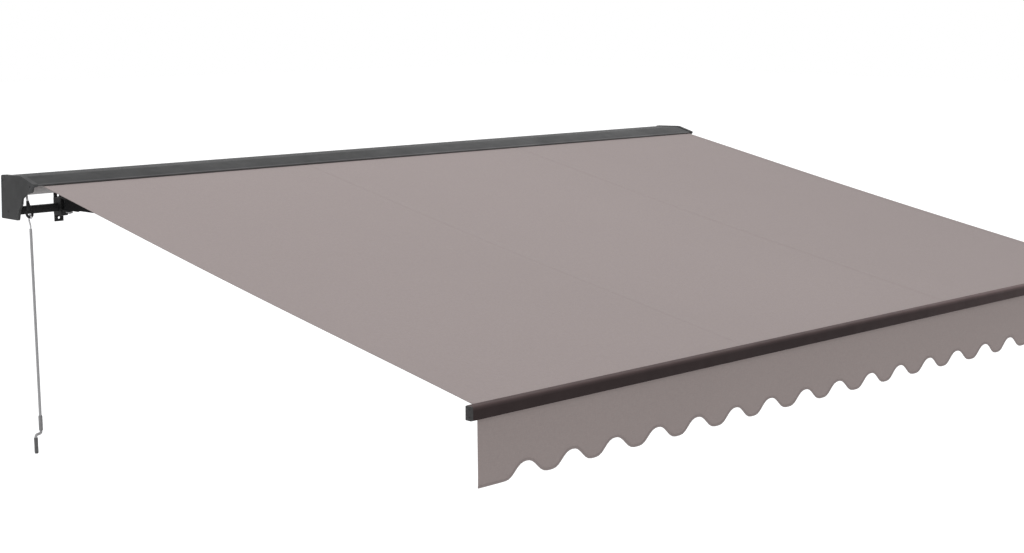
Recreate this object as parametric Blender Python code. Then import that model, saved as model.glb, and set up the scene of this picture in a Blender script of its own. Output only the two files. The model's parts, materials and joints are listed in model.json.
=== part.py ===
"""Folding-arm patio awning, shown fully extended: hood, roller, two folding arms, front bar,
canopy with a scalloped valance, worm gear and hanging hand crank.

Metres, +Z up. X runs along the wall, the wall plane is Y = 0, and the front is at -Y. The origin
lies on the wall face of the middle bracket, at the height of the torsion bar."""

from math import acos, asin, atan2, ceil, cos, degrees, hypot, pi, radians, sin, sqrt, tan

import bmesh
import bpy
from mathutils import Matrix, Vector

# Driving dimensions
FABRIC_WIDTH = 3.800
FABRIC_SLOPE = radians(11.16)
PROJECTION = 2.613
ARM_LENGTH = 1.560
SHOULDER_INSIDE_FABRIC = 0.1845
ARM_SPREAD = FABRIC_WIDTH - 2 * SHOULDER_INSIDE_FABRIC
CLOSED_REACH = 0.138

GAP = 0.0003
CURVE_STEPS = 5

# Torsion bar
BAR_SIZE = 0.030
BAR_WALL = 0.0025
BAR_FROM_WALL = 0.065
BAR_CORNER = 0.003

# Hood and end caps
HOOD_DEPTH = 0.256
HOOD_FROM_WALL = 0.026
HOOD_LIP_Z = 0.1089
HOOD_BACK_Z = 0.1357
HOOD_BEND_Z = 0.1397
HOOD_BEND_FROM_LIP = 0.088
HOOD_WALL = 0.0022
HOOD_LIP_HEIGHT = 0.0065
HOOD_LIP_RETURN = 0.006
HOOD_BACK_FLANGE = 0.034
GEAR_SIDE_OVERHANG = 0.0405
IDLE_SIDE_OVERHANG = 0.0180
CAP_PLATE = 0.004
CAP_RIM_DEPTH = 0.016
CAP_RIM_WALL = 0.0024
CAP_EDGE_DEPTH = 0.005
CAP_DROP = 0.0285
CAP_FOOT_FROM_WALL = 0.016
CAP_LEG_DEPTH = 0.138
SPIGOT_LENGTH = 0.030

# Roller
FABRIC_AT_LIP_BELOW = 0.0030
FABRIC_THICKNESS = 0.0010
ROLL_RADIUS = 0.0310
ROLL_WRAP = 0.0010
ROLLER_WALL = 0.0015
ROLLER_FROM_WALL = 0.140
ROLLER_END_SPACE = 0.004
SPINDLE_RADIUS = 0.005
JOURNAL_RADIUS = 0.006
BEARING_RADIUS = 0.016
ROLLER_PLUG_DEPTH = 0.030
PLUG_FLANGE = 0.002

# Wall brackets
BRACKET_WIDTH = 0.038
BRACKET_PLATE = 0.006
BRACKET_TOP = 0.0590
BRACKET_BOTTOM = 0.0640
BRACKET_FROM_SHOULDER = 0.0255
BRACKET_X = ARM_SPREAD / 2 - BRACKET_FROM_SHOULDER
SUPPORT_WIDTH = 0.024
SUPPORT_WALL = 0.005
SUPPORT_SHARES = (-0.32, 0.03, 0.32)
ANCHOR_RADIUS = 0.0058
ANCHOR_UPPER_Z = 0.0390
ANCHOR_LOWER_Z = 0.0500
SADDLE_WIDTH = 0.026
JAW_TOP = 0.0040
JAW_BOTTOM = 0.0120
CLAMP_PLATE = 0.005
BOLT_RADIUS = 0.004
BOLT_HEAD = 0.0065
BOLT_HEAD_HEIGHT = 0.0055

# Arms
ARM_FROM_WALL = 0.115
ARM_SHOULDER_Z = 0.0125
WRIST_BEHIND_BAR = 0.041
WRIST_BELOW_TOP = 0.020
ARM_OFFSET = 0.020
REAR_TUBE = (0.034, 0.034)
FORE_TUBE = (0.030, 0.030)
TUBE_WALL = 0.002
TUBE_CORNER = 0.005
PIN_RADIUS = 0.006
PIN_HEAD = 0.0092
PIN_HEAD_HEIGHT = 0.0035
ARM_CLAMP_TOP = 0.038
ARM_CLAMP_BOTTOM = 0.032
ARM_CLAMP_WALL = 0.007
SHOULDER_HUB = 0.0155
SHOULDER_HALF = 0.020
SHOULDER_EAR = 0.007
ELBOW_HUB = 0.0185
ELBOW_HALF = 0.009
WRIST_HUB = 0.014
WRIST_HALF = 0.012
WRIST_EAR = 0.006
SPRING_COILS = 11
SPRING_SHARE = 0.29
SHOULDER_CASTING = 0.078
ELBOW_FORK_CASTING = 0.086
ELBOW_CASTING = 0.082
WRIST_CASTING = 0.062
PLUG_DEPTH = 0.035

# Front bar and valance
FRONT_BAR_DEPTH = 0.027
FRONT_BAR_HEIGHT = 0.043
FRONT_BAR_WALL = 0.002
FRONT_BAR_OVERHANG = 0.029
FRONT_CAP = 0.005
FRONT_BAR_TOP_OVER_FABRIC = 0.0037
KEDER_RADIUS = 0.0036
VALANCE_DROP = 0.203
VALANCE_WAVE = 0.045
VALANCE_PITCH = 0.200

# Gear, eye and crank
GEAR_X = 0.0205
GEAR_HALF = 0.0140
SHAFT_TILT = radians(13.0)
SHAFT_RADIUS = 0.0042
WORM_RADIUS = 0.0062
WHEEL_TEETH = 15
WORM_STARTS = 3
EYE_BELOW_BAR = 0.0025
EYE_RING = 0.0118
EYE_WIRE = 0.0050
HOOK_WIRE = 0.0033
HOOK_LENGTH = 0.044
CRANK_RADIUS = 0.0055
CRANK_LENGTH = 0.839
CRANK_ARM = 0.034
CRANK_ARM_TURN = radians(203.0)
CRANK_LEAN = radians(0.9)
SLEEVE_RADIUS = 0.0078
SLEEVE_LENGTH = 0.058
GRIP_RADIUS = 0.0078
GRIP_LENGTH = 0.062

# Positions worked out from the sizes above
SLOPE_RATE = tan(FABRIC_SLOPE)
HALF_FABRIC = FABRIC_WIDTH / 2
LEFT_CAP_X = -(HALF_FABRIC + GEAR_SIDE_OVERHANG)
RIGHT_CAP_X = HALF_FABRIC + IDLE_SIDE_OVERHANG
LIP_Y = -HOOD_DEPTH
FRONT_FACE_Y = -PROJECTION
BAR_BACK_Y = FRONT_FACE_Y + FRONT_BAR_DEPTH
FABRIC_LIP_Z = HOOD_LIP_Z - FABRIC_AT_LIP_BELOW


def fabric_z(y):
    """Height of the canopy's top surface at a distance from the wall."""
    return FABRIC_LIP_Z + (y - LIP_Y) * SLOPE_RATE


FRONT_BAR_TOP_Z = fabric_z(BAR_BACK_Y) + FRONT_BAR_TOP_OVER_FABRIC
FRONT_BAR_BOTTOM_Z = FRONT_BAR_TOP_Z - FRONT_BAR_HEIGHT
ROLLER_Y = -ROLLER_FROM_WALL
ROLLER_Z = fabric_z(ROLLER_Y) - ROLL_RADIUS / cos(FABRIC_SLOPE)
SHOULDER_Y = -ARM_FROM_WALL
WRIST_Y = BAR_BACK_Y + WRIST_BEHIND_BAR
WRIST_Z = FRONT_BAR_TOP_Z - WRIST_BELOW_TOP
SHOULDER_X = ARM_SPREAD / 2
ARM_SLOPE = atan2(ARM_SHOULDER_Z - WRIST_Z, SHOULDER_Y - WRIST_Y)
REACH = hypot(SHOULDER_Y - WRIST_Y, ARM_SHOULDER_Z - WRIST_Z)
REST_ANGLE = acos(REACH / (2 * ARM_LENGTH))
FOLD_ANGLE = acos(CLOSED_REACH / (2 * ARM_LENGTH)) - REST_ANGLE
OFFSET_ANGLE = asin(ARM_OFFSET / ARM_LENGTH)
TUBE_REACH = sqrt(ARM_LENGTH**2 - ARM_OFFSET**2)
SHOULDER_EAR_TOP = SHOULDER_HALF + GAP + SHOULDER_EAR
ELBOW_EAR_TOP = REAR_TUBE[1] / 2 - GAP
WRIST_EAR_TOP = WRIST_HALF + GAP + WRIST_EAR
SHAFT_UP = Vector((0.0, sin(SHAFT_TILT), cos(SHAFT_TILT)))
SHAFT_FRONT = Vector((0.0, cos(SHAFT_TILT), -sin(SHAFT_TILT)))
WHEEL_RADIUS = WORM_RADIUS * 2
GEAR_CENTRES = WORM_RADIUS + WHEEL_RADIUS + GAP
GEAR_CENTRE_X = -(HALF_FABRIC + GEAR_X)
ROLLER_AXIS = Vector((GEAR_CENTRE_X, ROLLER_Y, ROLLER_Z))
WORM_CENTRE = ROLLER_AXIS - SHAFT_FRONT * GEAR_CENTRES
EYE_CENTRE = WORM_CENTRE - SHAFT_UP * ((WORM_CENTRE.z + EYE_BELOW_BAR) / SHAFT_UP.z)
HOOK_PIVOT = EYE_CENTRE - SHAFT_UP * EYE_RING
CRANK_WAY = Vector((cos(CRANK_ARM_TURN), sin(CRANK_ARM_TURN), 0.0))

# Frames whose local z is the direction of extrusion
ALONG_WALL = Matrix(((0, 0, 1, 0), (1, 0, 0, 0), (0, 1, 0, 0), (0, 0, 0, 1)))
ARM_NORMAL = Vector((0.0, -sin(ARM_SLOPE), cos(ARM_SLOPE)))
DOWN_SLOPE = Vector((0.0, -cos(ARM_SLOPE), -sin(ARM_SLOPE)))


def frame_of(origin, x_axis, z_axis):
    """A placing matrix with the given origin and local x and z directions."""
    z = Vector(z_axis).normalized()
    y = z.cross(Vector(x_axis)).normalized()
    x = y.cross(z)
    turned_by = Matrix((x, y, z)).transposed().to_4x4()
    return Matrix.Translation(origin) @ turned_by


def material(name, colour, roughness, metallic):
    made = bpy.data.materials.new(name)
    made.use_nodes = True
    shader = made.node_tree.nodes["Principled BSDF"]
    shader.inputs["Base Color"].default_value = (*colour, 1.0)
    shader.inputs["Roughness"].default_value = roughness
    shader.inputs["Metallic"].default_value = metallic
    made.diffuse_color = (*colour, 1.0)
    return made


def object_of(name, bm, frame, surface):
    """Make one named object from a closed bmesh, with its faces turned outwards."""
    bmesh.ops.recalc_face_normals(bm, faces=bm.faces)
    mesh = bpy.data.meshes.new(name)
    bm.to_mesh(mesh)
    bm.free()
    made = bpy.data.objects.new(name, mesh)
    made.matrix_world = frame
    bpy.context.scene.collection.objects.link(made)
    if surface:
        mesh.materials.append(surface)
        mesh.shade_smooth()
        mesh.set_sharp_from_angle(angle=radians(35))
    return made


def prism(name, loops, low, high, frame, surface=None):
    """Extrude a flat outline, with any holes, from local z = low to z = high."""
    bm = bmesh.new()
    edges = []
    rings = []
    for loop in loops:
        ring = [bm.verts.new((x, y, low)) for x, y in loop]
        rings.append(ring)
        edges += [bm.edges.new((ring[i - 1], ring[i])) for i in range(len(ring))]
    bmesh.ops.triangle_fill(bm, use_beauty=True, edges=edges)
    bottom_faces = list(bm.faces)
    top = {}
    for ring in rings:
        for vert in ring:
            top[vert] = bm.verts.new((vert.co.x, vert.co.y, high))
    for face in bottom_faces:
        bm.faces.new([top[vert] for vert in reversed(face.verts)])
    for ring in rings:
        for i in range(len(ring)):
            bm.faces.new((ring[i - 1], ring[i], top[ring[i]], top[ring[i - 1]]))
    return object_of(name, bm, frame, surface)


def turned(name, profile, frame, surface=None, sides=20, closed=False):
    """Turn a profile of (radius, height) points about local z. A closed profile makes a tube."""
    bm = bmesh.new()
    rings = []
    for radius, height in profile:
        if radius == 0:
            rings.append([bm.verts.new((0, 0, height))])
            continue
        angles = [2 * pi * i / sides for i in range(sides)]
        rings.append([bm.verts.new((radius * cos(a), radius * sin(a), height)) for a in angles])
    pairs = list(zip(rings, rings[1:]))
    if closed:
        pairs.append((rings[-1], rings[0]))
    for one, two in pairs:
        for i in range(sides):
            corners = [one[(i - 1) % len(one)], one[i % len(one)]]
            corners += [two[i % len(two)], two[(i - 1) % len(two)]]
            face = list(dict.fromkeys(corners))
            if len(face) > 2:
                bm.faces.new(face)
    return object_of(name, bm, frame, surface)


def rope(name, points, radius, surface, frame=Matrix.Identity(4), resolution=3):
    """A round bar along a chain of points, as a bevelled curve with filled ends."""
    curve = bpy.data.curves.new(name, "CURVE")
    curve.dimensions = "3D"
    curve.bevel_depth = radius
    curve.bevel_resolution = resolution
    curve.use_fill_caps = True
    spline = curve.splines.new("POLY")
    spline.points.add(len(points) - 1)
    for point, place in zip(spline.points, points):
        point.co = (*place, 1.0)
    made = bpy.data.objects.new(name, curve)
    made.matrix_world = frame
    bpy.context.scene.collection.objects.link(made)
    curve.materials.append(surface)
    return made


def boolean(target, helper, operation):
    helper.hide_render = True
    helper.display_type = "WIRE"
    change = target.modifiers.new(helper.name, "BOOLEAN")
    change.operation = operation
    change.solver = "EXACT"
    change.object = helper


def cut(target, *helpers):
    for helper in helpers:
        boolean(target, helper, "DIFFERENCE")


def join(target, *helpers):
    for helper in helpers:
        boolean(target, helper, "UNION")


def circle(centre, radius, sides=24, start=0.0, end=2 * pi):
    """Points on a circle or arc. A whole circle leaves out the repeated last point."""
    whole = abs(end - start) > 2 * pi - 1e-6
    count = sides if whole else sides + 1
    angles = [start + (end - start) * i / sides for i in range(count)]
    return [(centre[0] + radius * cos(a), centre[1] + radius * sin(a)) for a in angles]


def rounded(points, radius, steps=CURVE_STEPS, closed=True):
    """Round the corners of an outline. A corner keeps its point where the radius is 0."""
    radii = radius if isinstance(radius, list) else [radius] * len(points)
    out = []
    for i, corner in enumerate(points):
        at_end = not closed and i in (0, len(points) - 1)
        if at_end or radii[i] == 0:
            out.append(corner)
            continue
        here = Vector(corner)
        before = (Vector(points[i - 1]) - here).normalized()
        after = (Vector(points[(i + 1) % len(points)]) - here).normalized()
        half = before.angle(after) / 2
        reach = radii[i] / tan(half)
        centre = here + (before + after).normalized() * (radii[i] / sin(half))
        first = here + before * reach - centre
        last = here + after * reach - centre
        sweep = first.angle_signed(last)
        for k in range(steps + 1):
            angle = -sweep * k / steps
            spot = Matrix.Rotation(angle, 2) @ first + centre
            out.append((spot.x, spot.y))
    return out


def offset(path, by):
    """An open path moved sideways, to the left of the way it runs."""
    moved = []
    for i, point in enumerate(path):
        here = Vector(point)
        sides = []
        if i > 0:
            sides.append((here - Vector(path[i - 1])).normalized())
        if i < len(path) - 1:
            sides.append((Vector(path[i + 1]) - here).normalized())
        normals = [Vector((-d.y, d.x)) for d in sides]
        total = sum(normals, Vector((0.0, 0.0))).normalized()
        spot = here + total * (by / max(total.dot(normals[0]), 0.5))
        moved.append((spot.x, spot.y))
    return moved


def band(path, thickness):
    """Outline of a sheet of even thickness, whose outer side follows an open path."""
    return path + offset(path, thickness)[::-1]


def box_loop(x0, x1, y0, y1):
    return [(x0, y0), (x1, y0), (x1, y1), (x0, y1)]


def tube_loops(width, height, wall, corner, centre=(0.0, 0.0)):
    """Outer and inner outlines of a rectangular tube with rounded corners."""
    x, y = centre
    outer = rounded(box_loop(x - width / 2, x + width / 2, y - height / 2, y + height / 2), corner, 2)
    w, h = width / 2 - wall, height / 2 - wall
    inner = rounded(box_loop(x - w, x + w, y - h, y + h), max(corner - wall, wall / 4), 2)
    return [outer, inner]


# Materials
HOOD_GREY = material("hood_grey", (0.070, 0.071, 0.073), 0.45, 0.1)
CAP_GREY = material("cap_grey", (0.062, 0.063, 0.065), 0.5, 0.0)
BLACK_STEEL = material("black_steel", (0.012, 0.012, 0.013), 0.45, 0.2)
BAR_BROWN = material("bar_brown", (0.040, 0.029, 0.028), 0.45, 0.1)
BAR_CAP = material("bar_cap", (0.030, 0.030, 0.031), 0.5, 0.0)
CANOPY_CLOTH = material("canopy_cloth", (0.37, 0.325, 0.32), 0.9, 0.0)
ZINC = material("zinc", (0.45, 0.45, 0.46), 0.35, 0.9)
SPRING_STEEL = material("spring_steel", (0.25, 0.25, 0.26), 0.35, 0.9)
CRANK_GREY = material("crank_grey", (0.26, 0.26, 0.27), 0.4, 0.5)
GEAR_PLASTIC = material("gear_plastic", (0.02, 0.02, 0.02), 0.5, 0.0)
BRASS = material("brass", (0.60, 0.42, 0.16), 0.35, 1.0)


def side_name(base, side):
    return base + ("_left" if side < 0 else "_right")


def hood_path():
    """The hood's outer side from the wall flange over the top to the drip lip, in Y and Z."""
    bend_y = LIP_Y + HOOD_BEND_FROM_LIP
    nose_z = HOOD_LIP_Z + HOOD_LIP_HEIGHT
    points = [
        (-HOOD_FROM_WALL, HOOD_BACK_Z - HOOD_BACK_FLANGE),
        (-HOOD_FROM_WALL, HOOD_BACK_Z),
        (bend_y, HOOD_BEND_Z),
        (LIP_Y, nose_z),
        (LIP_Y, HOOD_LIP_Z),
        (LIP_Y + HOOD_LIP_RETURN, HOOD_LIP_Z),
    ]
    radii = [0, 0.006, 0.045, 0.003, 0.003, 0]
    return rounded(points, radii, 4, closed=False)


def make_hood():
    """Extruded sheet-metal hood between the two end caps."""
    low, high = LEFT_CAP_X + GAP, RIGHT_CAP_X - GAP
    prism("hood_cover", [band(hood_path(), HOOD_WALL)], low, high, ALONG_WALL, HOOD_GREY)


def cap_outline(over_hood):
    """Outline of an end cap in Y and Z: over the hood at the top, stepped back below its lip."""
    leg_y = -CAP_LEG_DEPTH
    lower = [
        (LIP_Y + 0.014, HOOD_LIP_Z - 0.0244),
        (LIP_Y + 0.050, HOOD_LIP_Z - 0.0314),
        (leg_y - 0.034, HOOD_LIP_Z - 0.0524),
        (leg_y - 0.030, HOOD_LIP_Z - 0.0744),
        (leg_y - 0.012, HOOD_LIP_Z - 0.0944),
        (leg_y, -CAP_DROP),
        (-CAP_FOOT_FROM_WALL, -CAP_DROP),
    ]
    points = [over_hood[-2]] + lower + [over_hood[1]]
    radii = [0, 0.010, 0.012, 0.012, 0.012, 0.014, 0.004, 0.004, 0]
    return over_hood[1:-1] + rounded(points, radii, 2, closed=False)[1:-1]


def shrink(outline, by):
    """Move an anticlockwise or clockwise outline inwards by a small distance."""
    area = sum(
        a[0] * b[1] - b[0] * a[1] for a, b in zip(outline, outline[1:] + outline[:1])
    )
    way = 1 if area > 0 else -1
    out = []
    for i, point in enumerate(outline):
        before = (Vector(point) - Vector(outline[i - 1])).normalized()
        after = (Vector(outline[(i + 1) % len(outline)]) - Vector(point)).normalized()
        normal = (Vector((-before.y, before.x)) + Vector((-after.y, after.x))).normalized()
        spot = Vector(point) + normal * way * by
        out.append((spot.x, spot.y))
    return out


def cap_inner(side):
    """X of the end cap's face that looks at the hood."""
    return LEFT_CAP_X if side < 0 else RIGHT_CAP_X


def make_end_cap(side):
    """Cast end cap: side plate, a rim that sockets the hood, and a spigot in the torsion bar."""
    hood_side = offset(hood_path(), -GAP * 2)
    over_hood = offset(hood_path(), -CAP_RIM_WALL - GAP * 2)
    outline = cap_outline(over_hood)
    inner = cap_inner(side)
    face = inner + side * CAP_PLATE
    name = side_name("end_cap", side)
    cap = prism(name, [outline], min(face, inner), max(face, inner), ALONG_WALL, CAP_GREY)
    rim_end = inner - side * CAP_RIM_DEPTH
    overlap = inner + side * CAP_PLATE / 2
    rim_loop = hood_side[1:] + over_hood[1:][::-1]
    rim = prism(name + "_rim", [rim_loop], min(rim_end, overlap), max(rim_end, overlap), ALONG_WALL)
    edge_end = inner - side * CAP_EDGE_DEPTH
    edge_loops = [outline, shrink(outline, CAP_RIM_WALL)]
    edge = prism(name + "_edge", edge_loops, min(edge_end, overlap), max(edge_end, overlap), ALONG_WALL)
    half = BAR_SIZE / 2 - BAR_WALL - GAP
    spigot_end = inner - side * SPIGOT_LENGTH
    spigot = prism(
        name + "_spigot",
        [box_loop(-BAR_FROM_WALL - half, -BAR_FROM_WALL + half, -half, half)],
        min(spigot_end, overlap),
        max(spigot_end, overlap),
        ALONG_WALL,
    )
    join(cap, rim, edge, spigot)


def make_torsion_bar():
    """Square steel tube that carries the arms and the caps."""
    low, high = LEFT_CAP_X + GAP, RIGHT_CAP_X - GAP
    loops = tube_loops(BAR_SIZE, BAR_SIZE, BAR_WALL, BAR_CORNER, (-BAR_FROM_WALL, 0.0))
    prism("torsion_bar", loops, low, high, ALONG_WALL, BLACK_STEEL)


def pin_frame(origin, axis):
    """A frame whose local z is the given axis."""
    helper = Vector((1, 0, 0)) if abs(Vector(axis).normalized().x) < 0.9 else Vector((0, 1, 0))
    return frame_of(origin, helper, axis)


def rod(name, radius, low, high, frame, surface=None, sides=12):
    return turned(name, [(0, low), (radius, low), (radius, high), (0, high)], frame, surface, sides)


def make_wall_bracket(word, x):
    """Wall plate with two anchor holes and a saddle open to the front, in which the bar lies."""
    half = BAR_SIZE / 2 + GAP
    back = -BAR_FROM_WALL + half
    front = -BAR_FROM_WALL - half
    saddle_front = front + GAP
    name = "wall_bracket_" + word
    plate = rounded(box_loop(-BRACKET_PLATE, 0.0, -BRACKET_BOTTOM, BRACKET_TOP), 0.0015, 2)
    low, high = x - BRACKET_WIDTH / 2, x + BRACKET_WIDTH / 2
    bracket = prism(name, [plate], low, high, ALONG_WALL, BLACK_STEEL)
    root = -BRACKET_PLATE / 2
    points = [
        (root, half + JAW_TOP),
        (saddle_front, half + JAW_TOP),
        (saddle_front, half),
        (back, half),
        (back, -half),
        (saddle_front, -half),
        (saddle_front, -half - JAW_BOTTOM),
        (root, -half - JAW_BOTTOM),
    ]
    radii = [0, 0.002, 0.0008, 0, 0, 0.0008, 0.003, 0]
    low, high = x - SADDLE_WIDTH / 2, x + SADDLE_WIDTH / 2
    join(bracket, prism(name + "_saddle", [rounded(points, radii, 3)], low, high, ALONG_WALL))
    depth = BRACKET_PLATE * 2
    for label, z in (("upper", ANCHOR_UPPER_Z), ("lower", -ANCHOR_LOWER_Z)):
        place = pin_frame((x, -BRACKET_PLATE - depth / 4, z), (0, 1, 0))
        cut(bracket, rod(name + "_" + label, ANCHOR_RADIUS, -depth / 2, depth, place))
    bolt_z = -half - JAW_BOTTOM / 2
    place = pin_frame((x, saddle_front, bolt_z), (0, 1, 0))
    cut(bracket, rod(name + "_thread", BOLT_RADIUS + GAP, -0.010, 0.034, place))
    make_bracket_clamp(word, x, half, bolt_z)


def make_bracket_clamp(word, x, half, bolt_z):
    """Flat front keeper that closes the saddle, with its hexagon bolt."""
    face = -BAR_FROM_WALL - half - GAP
    top_z = half + JAW_TOP
    low_z = -half - JAW_BOTTOM
    plate = rounded(box_loop(face - CLAMP_PLATE, face, low_z, top_z), [0.002, 0.001, 0.001, 0.002], 3)
    low, high = x - SADDLE_WIDTH / 2, x + SADDLE_WIDTH / 2
    name = "bracket_clamp_" + word
    clamp = prism(name, [plate], low, high, ALONG_WALL, BLACK_STEEL)
    place = pin_frame((x, face, bolt_z), (0, 1, 0))
    cut(clamp, rod(name + "_hole", BOLT_RADIUS + GAP, -0.012, 0.012, place))
    seat = CLAMP_PLATE + GAP
    hexagon = circle((0, 0), BOLT_HEAD, 6)
    bolt_name = "bracket_bolt_" + word
    bolt = prism(bolt_name, [hexagon], -seat - BOLT_HEAD_HEIGHT, -seat, place, ZINC)
    shank = rod(bolt_name + "_shank", BOLT_RADIUS, -seat - BOLT_HEAD_HEIGHT / 2, 0.030, place)
    join(bolt, shank)


def make_hood_support(word, x):
    """Pressed plate that stands on the torsion bar behind the roller and carries the hood."""
    half = BAR_SIZE / 2 + GAP
    back, front = -BAR_FROM_WALL + half, -BAR_FROM_WALL - half
    bend_y = LIP_Y + HOOD_BEND_FROM_LIP
    rise = (HOOD_BEND_Z - HOOD_BACK_Z) / (bend_y + HOOD_FROM_WALL)
    under = HOOD_BACK_Z - HOOD_WALL - GAP + rise * HOOD_FROM_WALL
    back_y = -HOOD_FROM_WALL - HOOD_WALL - 0.006
    front_y = ROLLER_Y + ROLL_RADIUS + 0.014
    wall = SUPPORT_WALL
    points = [
        (back + wall, -half - wall),
        (back + wall, half + 0.020),
        (back_y, half + 0.045),
        (back_y, under + rise * back_y),
        (front_y, under + rise * front_y),
        (front_y, under - 0.012),
        (front - wall + 0.010, half + 0.030),
        (front - wall, half + wall),
        (front - wall, -half - wall),
    ]
    outline = rounded(points, [0.003, 0.01, 0.006, 0.002, 0.002, 0.004, 0.012, 0.003, 0.003], 3)
    hole = box_loop(front, back, -half, half)
    low, high = x - SUPPORT_WIDTH / 2, x + SUPPORT_WIDTH / 2
    prism("hood_support_" + word, [outline, hole], low, high, ALONG_WALL, BLACK_STEEL)


def make_roller():
    """Roller tube, its end plugs, and the turns of fabric that stay on it."""
    inner_end = HALF_FABRIC + ROLLER_END_SPACE
    tube_radius = ROLL_RADIUS - ROLL_WRAP - GAP
    place = Matrix.Translation((0, ROLLER_Y, ROLLER_Z)) @ ALONG_WALL.to_3x3().to_4x4()
    ring = [
        (tube_radius - ROLLER_WALL, -inner_end),
        (tube_radius, -inner_end),
        (tube_radius, inner_end),
        (tube_radius - ROLLER_WALL, inner_end),
    ]
    turned("roller_tube", ring, place, ZINC, 28, closed=True)
    wrap = [
        (ROLL_RADIUS - ROLL_WRAP, -HALF_FABRIC),
        (ROLL_RADIUS, -HALF_FABRIC),
        (ROLL_RADIUS, HALF_FABRIC),
        (ROLL_RADIUS - ROLL_WRAP, HALF_FABRIC),
    ]
    turned("fabric_roll", wrap, place, CANOPY_CLOTH, 32, closed=True)
    make_roller_plugs(place, tube_radius - ROLLER_WALL - GAP, inner_end)


def make_roller_plugs(place, radius, inner_end):
    """Left plug with the worm wheel's spindle, right plug with the idler journal."""
    flange = radius + ROLLER_WALL
    left_end = -inner_end - GAP - PLUG_FLANGE
    wheel_low = GEAR_CENTRE_X - WHEEL_RADIUS / 3
    left = [
        (0, wheel_low),
        (SPINDLE_RADIUS, wheel_low),
        (SPINDLE_RADIUS, left_end),
        (flange, left_end),
        (flange, -inner_end - GAP),
        (radius, -inner_end - GAP),
        (radius, -inner_end + ROLLER_PLUG_DEPTH),
        (0, -inner_end + ROLLER_PLUG_DEPTH),
    ]
    turned("roller_plug_left", left, place, GEAR_PLASTIC, 20)
    journal_end = RIGHT_CAP_X - GAP
    right = [
        (0, inner_end - ROLLER_PLUG_DEPTH),
        (radius, inner_end - ROLLER_PLUG_DEPTH),
        (radius, inner_end + GAP),
        (flange, inner_end + GAP),
        (flange, inner_end + GAP + PLUG_FLANGE),
        (JOURNAL_RADIUS, inner_end + GAP + PLUG_FLANGE),
        (JOURNAL_RADIUS, journal_end),
        (0, journal_end),
    ]
    turned("roller_plug_right", right, place, GEAR_PLASTIC, 20)
    bearing_low = inner_end + GAP * 2 + PLUG_FLANGE
    bearing = [
        (JOURNAL_RADIUS + GAP, bearing_low),
        (BEARING_RADIUS, bearing_low),
        (BEARING_RADIUS, journal_end),
        (JOURNAL_RADIUS + GAP, journal_end),
    ]
    turned("roller_bearing_right", bearing, place, GEAR_PLASTIC, 20, closed=True)


def make_gear():
    """Worm gear on the left cap: housing, wheel on the roller, worm shaft and crank eye."""
    place = ALONG_WALL.copy()
    low = GEAR_CENTRE_X - GEAR_HALF
    high = GEAR_CENTRE_X + GEAR_HALF
    wheel_space = WHEEL_RADIUS + 0.0008
    centre = (ROLLER_Y, ROLLER_Z)
    worm = (WORM_CENTRE.y, WORM_CENTRE.z)
    down = Vector((-sin(SHAFT_TILT), -cos(SHAFT_TILT)))
    front = Vector((-cos(SHAFT_TILT), sin(SHAFT_TILT)))
    worm_half = WHEEL_RADIUS
    collar = Vector(worm) + down * (worm_half + 0.006)
    outline = circle(centre, wheel_space + 0.0045, 10, radians(-60), radians(125))
    top = Vector(worm) - down * (worm_half + 0.004)
    outline += [tuple(top - front * 0.004), tuple(top + front * 0.0095)]
    outline += [tuple(collar + front * 0.0095), tuple(collar - front * 0.0095)]
    housing = prism("gear_housing", [outline], low, high, place, GEAR_PLASTIC)
    wheel_half = WHEEL_RADIUS / 3
    axis_place = Matrix.Translation((0, ROLLER_Y, ROLLER_Z)) @ place
    space_end = GEAR_CENTRE_X + wheel_half + 0.001
    bore = rod("gear_housing_wheel_space", wheel_space, low - 0.002, space_end, axis_place)
    spindle_hole = rod("gear_housing_spindle_hole", SPINDLE_RADIUS + GAP, low, high + 0.002, axis_place)
    shaft_place = pin_frame(WORM_CENTRE, SHAFT_UP)
    worm_end = worm_half + 0.001
    worm_space = rod("gear_housing_worm_space", WORM_RADIUS + 0.0008, -worm_end, worm_end, shaft_place)
    shaft_hole = rod("gear_housing_shaft_hole", SHAFT_RADIUS + GAP, -0.045, 0, shaft_place)
    cut(housing, bore, spindle_hole, worm_space, shaft_hole)
    make_worm_wheel(axis_place, wheel_half)
    make_worm_shaft(shaft_place, worm_half)
    make_eye()


def make_worm_wheel(place, half):
    """Toothed wheel keyed on the roller's spindle."""
    teeth = []
    for i in range(WHEEL_TEETH):
        for share, radius in ((0.0, 0.86), (0.25, 1.0), (0.5, 1.0), (0.75, 0.86)):
            angle = 2 * pi * (i + share) / WHEEL_TEETH
            teeth.append((WHEEL_RADIUS * radius * cos(angle), WHEEL_RADIUS * radius * sin(angle)))
    hole = circle((0, 0), SPINDLE_RADIUS + GAP, 16)
    low, high = GEAR_CENTRE_X - half, GEAR_CENTRE_X + half
    prism("worm_wheel", [teeth, hole], low, high, place, BRASS)


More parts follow.
